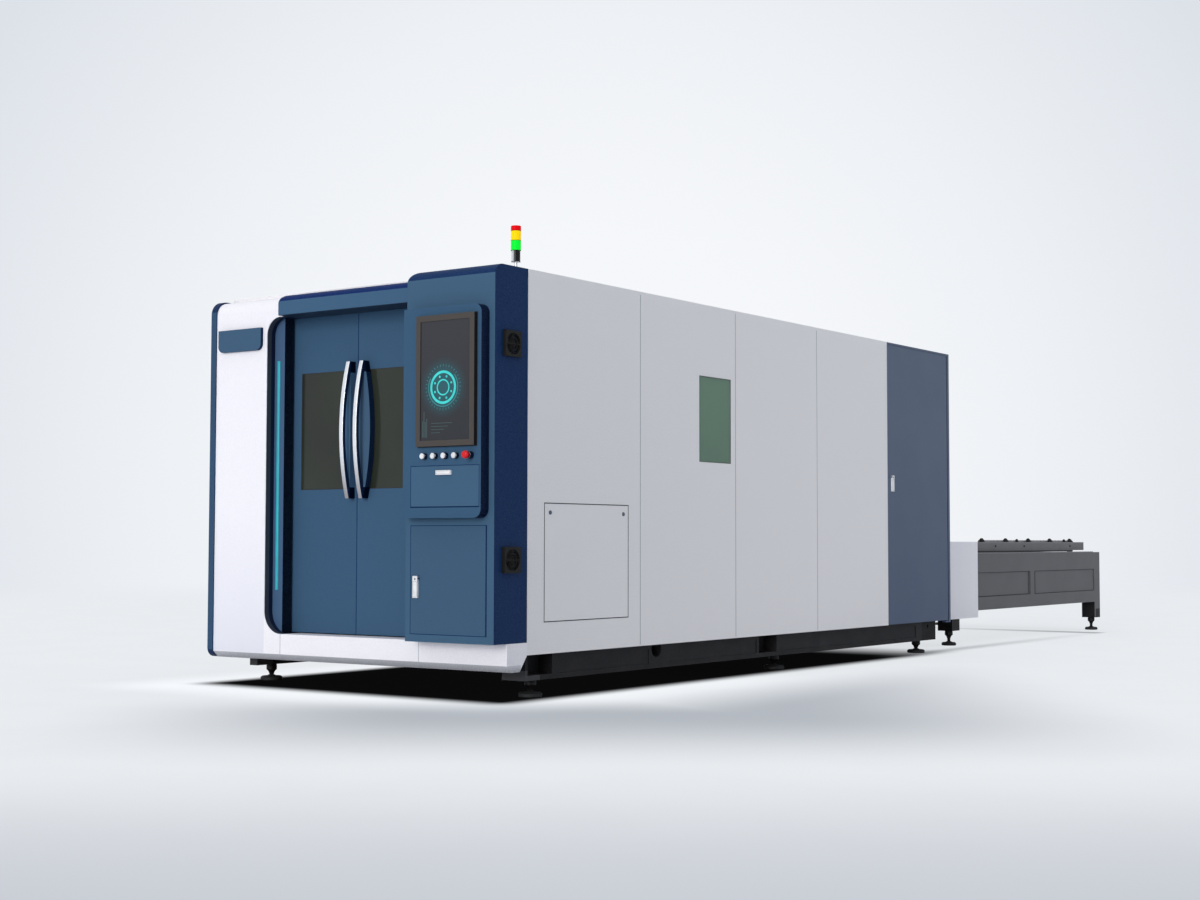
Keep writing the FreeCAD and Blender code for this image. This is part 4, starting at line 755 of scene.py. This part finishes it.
# The stem's right half is painted near-black: painted shade.
STEM = coat(
    "tower_stem_coat", "dfe1e4", "cfd1d5", amount=0.3, scale=400.0, rough=0.25, level=0.4, metal=0.4,
    light_and_shade_zones=[(at(979, 200, 2250), at(1100, 400, 2330), "070707")],
)
CHROME = metal("chrome_trim", "85888d", rough=0.14, stretch=(300.0, 300.0, 300.0), lines=0.02)
DOOR_GLASS = tinted_glass("door_filter_glass", "33382f", "292c27", 0.12)
GREEN_GLASS = tinted_glass("green_filter_glass", "6f957c", "658a72", 0.3)
# The bezel's sides are painted near-black: painted shade.
BEZEL = coat(
    "monitor_bezel", "4b4744", "423f3c", amount=0.4, scale=500.0, rough=0.55, bump=0.08,
    side="0c0c0d", face=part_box("monitor_frame")[0][1], level=0.15,
)
SEALANT = coat("joint_sealant", "8f95a1", "868c98", amount=0.5, scale=300.0, rough=0.6, level=0.2)
DARK = moulded("black_plastic", "1b1a17", rough=0.5, level=0.15)
IVORY = moulded("white_plastic", "f3f4f6", rough=0.28)
# The stop button's red glows a little though it is no lamp: painted light.
RED = moulded("red_plastic", "d80a14", rough=0.22, glow=0.12)
SEAM = coat("seam_coat", "12305c", "0e2850", amount=0.3, scale=300.0, rough=0.6, level=0.05)
RUBBER = moulded("seal_rubber", "1d1e1f", rough=0.7, grain=300.0, bump=0.3)
CYAN = moulded("strip_light", "2a9fae", rough=0.4, glow=0.35)
PAGE = moulded("page_lines", "33bdb8", rough=0.5, glow=0.42)
PAGE_FAINT = moulded("page_bars", "33494c", rough=0.5, glow=0.12)
PAGE_DIM = moulded("page_faint_lines", "2a7f86", rough=0.5, glow=0.22)
LAMPS = {
    "signal_red": ribbed_lamp("red_lamp", "d60009", 0.5),
    "signal_yellow": ribbed_lamp("yellow_lamp", "f6cf00", 0.5),
    "signal_green": ribbed_lamp("green_lamp", "00e634", 0.6),
}
PAGE_MIDDLE = (820.0, 1580.0)


def screen_finish():
    """Screen: dark glass that is paler at its top and has a faint cast round the page's middle."""
    made, board, shader = blank(
        "screen_glass", Specular_IOR_Level=0.25, Roughness=0.25, Emission_Strength=0.12,
    )
    low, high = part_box("monitor_screen")
    middle = at(PAGE_MIDDLE[0], SCREEN_FACE, PAGE_MIDDLE[1])
    axes = board.along()
    climb = board.step(axes["Z"], low[2], high[2])
    tone = board.blend(climb, linear("2d2f33"), linear("343539"))
    away = board.calc("SUBTRACT", axes["X"], float(middle[0]))
    above = board.calc("SUBTRACT", axes["Z"], float(middle[2]))
    squares = board.calc("ADD", board.calc("MULTIPLY", away, away), board.calc("MULTIPLY", above, above))
    cast = board.fall(board.calc("SQRT", squares), 0.04, 0.17)
    lit = board.blend(board.calc("MULTIPLY", cast, 0.34), tone, linear("1c7f8c"))
    board.feed(lit, shader.inputs["Base Color"])
    board.feed(lit, shader.inputs["Emission Color"])
    bumped(board, shader, board.noise(3.0, 2.0), 0.02, 0.0005)
    return made


# Every blue coat paints its sides and folds darker than its front as painted shade; some get their own shade
# paint.
FINISHES = {
    "front_plinth": WHITE, "front_left_panel": COLUMN,
    "left_end_cap": blue("end_cap_coat", "left_end_cap", paint="334d69"),
    "name_plate": blue("plate_coat", "name_plate"),
    "led_panel": blue("recess_coat", "led_panel", paint="466080", side="040a1c"),
    "led_strip": CYAN,
    "front_header": blue("header_coat", "front_header", paint="405f7c", side="07225c", light_and_shade_zones=[
        # A dark strip along the header's foot: painted shade.
        band(0, 900, 2050, HEADER_FOOT, "26364b"),
    ]),
    "door_track": GROUND,
    # The pad paints are paler than the leaves: painted light.
    "left_door": leaf_blue("left_leaf_coat", "left_door", "3a5874", -175, -88, "53789b", 249),
    "right_door": leaf_blue("right_leaf_coat", "right_door", "3c5a76", -25, 60, "45607b", 212),
    "left_door_window": DOOR_GLASS, "right_door_window": DOOR_GLASS,
    "left_handle": NAVY_COAT, "right_handle": NAVY_COAT,
    "console_cabinet": blue("console_coat", "console_cabinet", paint="415f79", side="102b56"),
    "control_panel": blue("control_coat", "control_panel", paint="395874", side="00072b"),
    "monitor_frame": BEZEL, "monitor_screen": screen_finish(),
    "button_barrels": BARREL,
    "start_button": IVORY, "pause_button": IVORY, "stop_button": IVORY, "reset_button": IVORY,
    "emergency_stop": RED,
    "keyboard_flap": blue("flap_coat", "keyboard_flap", paint="41607b"), "keyboard_pull": IVORY,
    "console_door": blue("cupboard_coat", "console_door", second=FACE), "console_latch": IVORY,
    "fan_guards": DARK, "upper_fan_rotor": DARK, "lower_fan_rotor": DARK,
    "right_wall_panels": WALL, "right_window_panel": WALL, "left_wall_panels": WALL, "roof_panels": WALL,
    "side_window": GREEN_GLASS, "access_panel": WALL, "access_lock_front": LOCK, "access_lock_rear": LOCK,
    "rear_side_door": REAR, "rear_door_latch": IVORY, "rear_wall": REAR,
    "machine_bed": BED, "bed_rails": GROUND, "levelling_feet": BLACK, "shuttle_frame": TABLE,
    "table_shrouds": WHITE, "outer_pallet": PALLET, "inner_pallet": PALLET, "outer_slats": SLAT,
    "inner_slats": SLAT, "gantry_beam": CAST, "beam_rails": GROUND, "cross_carriage": CAST,
    "cutting_head": CAST, "laser_source": WHITE, "signal_base": STEM,
}
FINISHES.update(LAMPS)
for node, finish in FINISHES.items():
    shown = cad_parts[node]
    shown.data.materials.clear()
    shown.data.materials.append(finish)

# ---------------------------------------------------------------- handles
HANDLE_LOW, HANDLE_HIGH, HANDLE_BULGE, HANDLE_CROWN = 1038.0, 1787.0, 51.0, 152.0


def handle_trim(name, body):
    """Bright strip on a bowed handle: a shallow crowned outline carried up the arc of its front."""
    low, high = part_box(name)
    middle = (HANDLE_LOW + HANDLE_HIGH) / 2
    chord = HANDLE_HIGH - HANDLE_LOW
    radius = chord * chord / (8 * HANDLE_BULGE) + HANDLE_BULGE / 2
    reach = math.asin((chord / 2 - 1) / radius)
    count = 64
    angle = np.linspace(-reach, reach, count)
    depth = HANDLE_CROWN + radius * (1 - np.cos(angle))
    height = middle + radius * np.sin(angle)
    centre = (low[0] + high[0]) / 2
    path = np.stack([np.full(count, centre), FACE + depth * MM, height * MM], 1)
    lift = np.stack([np.zeros(count), -np.cos(angle), np.sin(angle)], 1)
    across = np.tile([1.0, 0.0, 0.0], (count, 1))
    turn = np.linspace(0, np.pi, 13)
    half = (high[0] - low[0]) / 2
    swell, seat, root = 0.0022, 0.0002, -0.0003
    crown = np.stack([half * np.cos(turn), swell * np.sin(turn) ** 0.5 + seat], 1)
    outline = np.vstack([crown, [[-half, root], [half, root]]])
    piece(name + "_trim", [carried(path, outline, across, lift)], SILVER, body)


handle_trim("left_handle", "left_door")
handle_trim("right_handle", "right_door")

# ---------------------------------------------------------------- seals and joints
piece("access_panel_seal", [
    border("x", WALL_FACE, (413, 395), (1170, 1003), bead(2.6, 0.9, 1.25)),
], RUBBER, "machine")
piece("side_window_seal", [
    border("x", WALL_FACE, (1905, 1275), (2252, 1776), bead(1.8, 0.7, 0.6, -1.5)),
], RUBBER, "machine")
piece("flap_seal", [
    border("-y", PANEL_FACE, (592, 979), (1038, 1185), bead(1.5, 0.4, 2.0, -2.0)),
], SEAM, "machine")
piece("cupboard_seal", [
    border("-y", CUPBOARD_FACE, (538, 335), (1037, 884), bead(1.5, 0.4, 2.0, -2.0)),
], SEAM, "machine")
piece("monitor_seal", [
    border("-y", PANEL_FACE, (641, 1284), (1024, 1948), bead(1.6, 1.6, 1.8)),
], RUBBER, "machine")
for leaf, start, end in (("left_door", -501, -160), ("right_door", 8, 349)):
    piece(leaf + "_pane_seal", [
        border("-y", DOOR_FACE, (start, 1093), (end, 1740), bead(1.8, 0.8, 0.8)),
    ], RUBBER, leaf)
piece("door_meeting_seal", [
    stroke("-y", DOOR_FACE, (-75.5, 302), (-75.5, 2052), 2.4, 0.6),
], SEAM, "left_door")
SEAMS, DOOR_SEAM, SEAM_LOW, SEAM_HIGH = (1290, 2310, 3330), 4347, 238, 2182
piece("wall_joints", [
    stroke(side, WALL_FACE, (place, SEAM_LOW), (place, SEAM_HIGH), 1.9, 0.25)
    for side in ("x", "-x") for place in SEAMS
] + [
    stroke("x", WALL_FACE, (DOOR_SEAM, SEAM_LOW), (DOOR_SEAM, SEAM_HIGH), 1.4, 0.25),
], SEALANT, "machine")
piece("plinth_joints", [
    stroke("-y", PLINTH_FACE, (place, 184), (place, 293), 1.3, 0.3) for place in (-510, 501)
], SEALANT, "machine")

# ---------------------------------------------------------------- operating page on the screen
def page_dial():
    """Dial of the cutting run: two circles, and a ring of eight spots between them."""
    shapes = [
        arc_line("-y", SCREEN_FACE, PAGE_MIDDLE, 78, 6.5, 0.5),
        arc_line("-y", SCREEN_FACE, PAGE_MIDDLE, 38, 3.5, 0.5),
    ]
    for turn in np.radians(np.arange(8) * 45.0 + 22.5):
        spot = (PAGE_MIDDLE[0] + 58 * math.cos(turn), PAGE_MIDDLE[1] + 58 * math.sin(turn))
        shapes.append(arc_line("-y", SCREEN_FACE, spot, 3.6, 2.4, 0.5, count=16))
    return shapes


def page_marks():
    """Marks round the dial: an open arc, and short strokes outside it at every tenth degree."""
    middle = np.array(PAGE_MIDDLE)
    shapes = [arc_line("-y", SCREEN_FACE, middle, 96, 2.4, 0.45, 150.0, 400.0)]
    for turn in np.radians(np.arange(0, 360, 10)):
        out = np.array([math.cos(turn), math.sin(turn)])
        shapes.append(stroke("-y", SCREEN_FACE, middle + out * 106, middle + out * 116, 1.2, 0.45))
    return shapes


def page_meters():
    """Meters of the page: bars of unlike height low on the left, and lines of unlike length beside them."""
    bar_start, bar_foot, line_start = 686, 1330, 742
    bars = [(bar_start + 9 * k, 40 + 90 * abs(math.sin(k * 1.1 + 0.5))) for k in range(4)]
    lines = [(1352 + 16 * k, 60 + 26 * k) for k in range(4)]
    return [
        stroke("-y", SCREEN_FACE, (place, bar_foot), (place, bar_foot + tall), 2.6, 0.45)
        for place, tall in bars
    ] + [
        stroke("-y", SCREEN_FACE, (line_start, level), (line_start + length, level), 1.6, 0.45)
        for level, length in lines
    ]


piece("page_dial", page_dial(), PAGE, "machine", smooth=30)
piece("page_marks", page_marks(), PAGE_DIM, "machine", smooth=30)
piece("page_meters", page_meters(), PAGE_FAINT, "machine", smooth=30)

# ---------------------------------------------------------------- buttons, latches and pull
BUTTONS = {"start_button": 686.0, "pause_button": 755.5, "stop_button": 825.0, "reset_button": 894.5}
BUTTON_LEVEL, STOP_PLACE = 1236, 987
piece("button_collars", [
    ring(at(place, -84.2, BUTTON_LEVEL), "-y", 15.7, 0.7) for place in BUTTONS.values()
] + [
    ring(at(STOP_PLACE, -92.2, BUTTON_LEVEL), "-y", 18.0, 1.1),
], CHROME, "machine")
for name, place in BUTTONS.items():
    piece(name + "_dish", [
        arc_line("-y", BUTTON_FACE, (place, BUTTON_LEVEL), 10.5, 0.6, 0.35, count=40),
    ], IVORY, name)
piece("emergency_stop_rib", [
    arc_line("-y", STOP_FACE, (STOP_PLACE, BUTTON_LEVEL), 10.0, 0.8, 0.5, count=40),
], RED, "emergency_stop")


def lock_barrel(axis, centre):
    """Lock barrel: turned rim and dished face."""
    return turned(centre, axis, [(5.5, -0.5), (5.5, 0.8), (4.6, 1.2), (3.6, 0.7)], 28)


piece("console_latch_line", [
    border("-y", LATCH_FACE, (564.5, 521.5), (588.5, 600), bead(0.7, 0.3)),
], SEALANT, "console_latch")
piece("console_latch_lock", [
    lock_barrel("-y", at(576.5, LATCH_FACE, 614)),
], CHROME, "console_latch")
piece("pull_line", [
    border("-y", PULL_FACE, (771, 1144), (859, 1159), bead(0.7, 0.3)),
], SEALANT, "keyboard_flap")
piece("rear_latch_line", [
    border("x", REAR_LATCH_FACE, (4402.5, 1163), (4426.5, 1241), bead(0.7, 0.3)),
], SEALANT, "rear_door_latch")
piece("rear_latch_lock", [
    lock_barrel("x", at(REAR_LATCH_FACE, 4414.5, 1256)),
], CHROME, "rear_door_latch")

# ---------------------------------------------------------------- fans: wire guards and screws
FAN_LEVELS, FAN_MIDDLE = (1802, 713), 129.5
piece("fan_wires", [
    ring(at(FAN_FACE + 0.6, FAN_MIDDLE, level), "x", radius, 1.2)
    for level in FAN_LEVELS for radius in (18, 27, 45, 54)
], BLACK, "machine")
screw = turned(np.zeros(3), "x", [(4.4, -0.5), (4.4, 0.6), (3.2, 1.5), (0.9, 1.7), (0.7, 0.9)], 20)
piece("fan_screws", [copies(screw, [
    at(FAN_FACE, FAN_MIDDLE + across, level + up)
    for level in FAN_LEVELS for across in (-55, 55) for up in (-55, 55)
])], BLACK, "machine")

# ---------------------------------------------------------------- recess light, tower collars
def strip_lens():
    """Lens of the strip light: a half-round crown carried straight up the strip."""
    turn = np.linspace(0, np.pi, 11)
    half, height, root = 0.0085, 0.0028, -0.0006
    outline = np.stack([half * np.cos(turn), height * np.sin(turn)], 1)
    outline = np.vstack([outline, [[-half, root], [half, root]]])
    path = at(-604, 166, np.array([537.0, 1811.0]))
    side = np.tile([1.0, 0.0, 0.0], (2, 1))
    lift = np.tile([0.0, -1.0, 0.0], (2, 1))
    return carried(path, outline, side, lift)


piece("led_lens", [strip_lens()], CYAN, "machine")
piece("tower_collars", [
    ring(at(976, 304, level), "z", radius, 1.4)
    for level, radius in ((2250, 23.4), (2309, 25.6), (2361, 25.6), (2411, 25.6))
], DARK, "machine")

# ---------------------------------------------------------------- shuttle table and pallets
# Dark rubber lines at the table recesses' edges and posts stand for the shade there: painted shade.
RECESS_LOW, RECESS_HIGH, SHADE_EDGE_LINE = 364, 561, [(0, -0.5), (0, 0.6), (-5, 0.6), (-5, -0.5)]
piece("table_recess_shade_lines", [
    border(side, TABLE_FACE, (start, RECESS_LOW), (end, RECESS_HIGH), SHADE_EDGE_LINE)
    for side in ("x", "-x") for start, end in ((6432, 7572), (7701, 9119))
] + [
    stroke(side, POST_FACE, (place, RECESS_LOW), (place, RECESS_HIGH), 8, 0.4)
    for side in ("x", "-x") for place in (7583, 7692)
] + [
    stroke(side, TABLE_FACE, (6434, 368), (7570, 368), 3.5, 0.7) for side in ("x", "-x")
], RUBBER, "machine")
piece("table_lips", [
    slab(at(side * 770, 6440, 713), at(side * TABLE_FACE, 9120, 721)) for side in (-1, 1)
], TABLE, "machine")
piece("pallet_guards", [
    slab(at(side * 731, 5880, 722.5), at(side * 737, 8780, 734.5)) for side in (-1, 1)
], BLACK, "outer_pallet")


def slat_comb(side):
    """Comb that holds the slats: along the rail its height swings between valley and tip, as a zigzag."""
    count, outer, inner = 131, 700, 694
    foot, valley, tip = 800.0, 816.0, 823.0
    along = np.linspace(6770, 8873, count)
    low, high = np.full(count, foot), np.where(np.arange(count) % 2, tip, valley)
    edges = ((outer, low), (outer, high), (inner, high), (inner, low))
    rows = [at(side * across, along, level) for across, level in edges]
    points, faces = net(np.stack(rows), wrap_rows=True)
    start = np.arange(4) * count
    return points, faces + [start.tolist(), (start + count - 1).tolist()]


piece("outer_slat_combs", [slat_comb(side) for side in (-1, 1)], TEETH, "outer_pallet")
piece("inner_slat_combs", [
    copies(slat_comb(side), [at(0, -4527, -150) - at(0, 0, 0)]) for side in (-1, 1)
], TEETH, "inner_pallet")
BOLT = [(8, -0.5), (8, 5), (6.5, 6.5)]
bolt = turned(np.zeros(3), "x", BOLT, 6)
other_bolt = turned(np.zeros(3), "-x", BOLT, 6)
pin = turned(np.zeros(3), "z", [(14, -0.5), (14, 14), (6, 26)], 16)
cap = turned(np.zeros(3), "z", [(26, -0.5), (26, 11), (8, 32)], 16)
BOLTS = (6120, 7021, 7632, 8701)
piece("pallet_bolts", [
    copies(bolt, [at(740, place, 772) for place in BOLTS]),
    copies(other_bolt, [at(-740, place, 772) for place in BOLTS]),
    copies(pin, [at(side * 704, place, 806) for side in (-1, 1) for place in (7560, 8649)]),
    copies(cap, [at(side * 706, place, 806) for side in (-1, 1) for place in (6818, 7312, 7806, 8300, 8780)]),
], BLACK, "outer_pallet")

# ---------------------------------------------------------------- levelling feet
def thread(centre, low, high):
    """Screw thread: the radius swells and shrinks once a turn along a line that climbs by the pitch."""
    radius, pitch = 12.0, 4.0
    turns = int((high - low) / pitch)
    turn = np.linspace(0, 2 * np.pi, 16, endpoint=False)[None, :]
    level = np.linspace(low, low + turns * pitch, turns * 6 + 1)[:, None]
    swell = radius + 0.9 * np.cos(2 * np.pi * level / pitch - turn)
    return capped(at(
        centre[0] + swell * np.cos(turn), centre[1] + swell * np.sin(turn), level + 0 * turn,
    ))


# Each foot: its place, the level of what stands on it and the radius of its pad.
FEET = [(side * 950.0, y, 95.0, 63) for side in (-1, 1) for y in (473.0, 2995.0, 5061.0)]
FEET += [(side * 750.0, y, 115.0, 56) for side in (-1, 1) for y in (6070.0, 9190.0)]
piece("foot_threads", [thread(foot, 25.0, foot[2] - 50.0) for foot in FEET], BLACK, "machine")
piece("foot_pads", [
    turned(at(x, y, 0), "z", [(pad - 4, 0.3), (pad, 4), (pad, 18), (pad - 9, 25), (26, 27), (16, 33)], 32)
    for x, y, _, pad in FEET
], RUBBER, "machine")
piece("foot_nuts", [
    turned(at(x, y, level - 44), "z", [(13, -16), (19, 0), (31, 12), (31, 34), (27, 43.6)], 12)
    for x, y, level, _ in FEET
], BLACK, "machine")
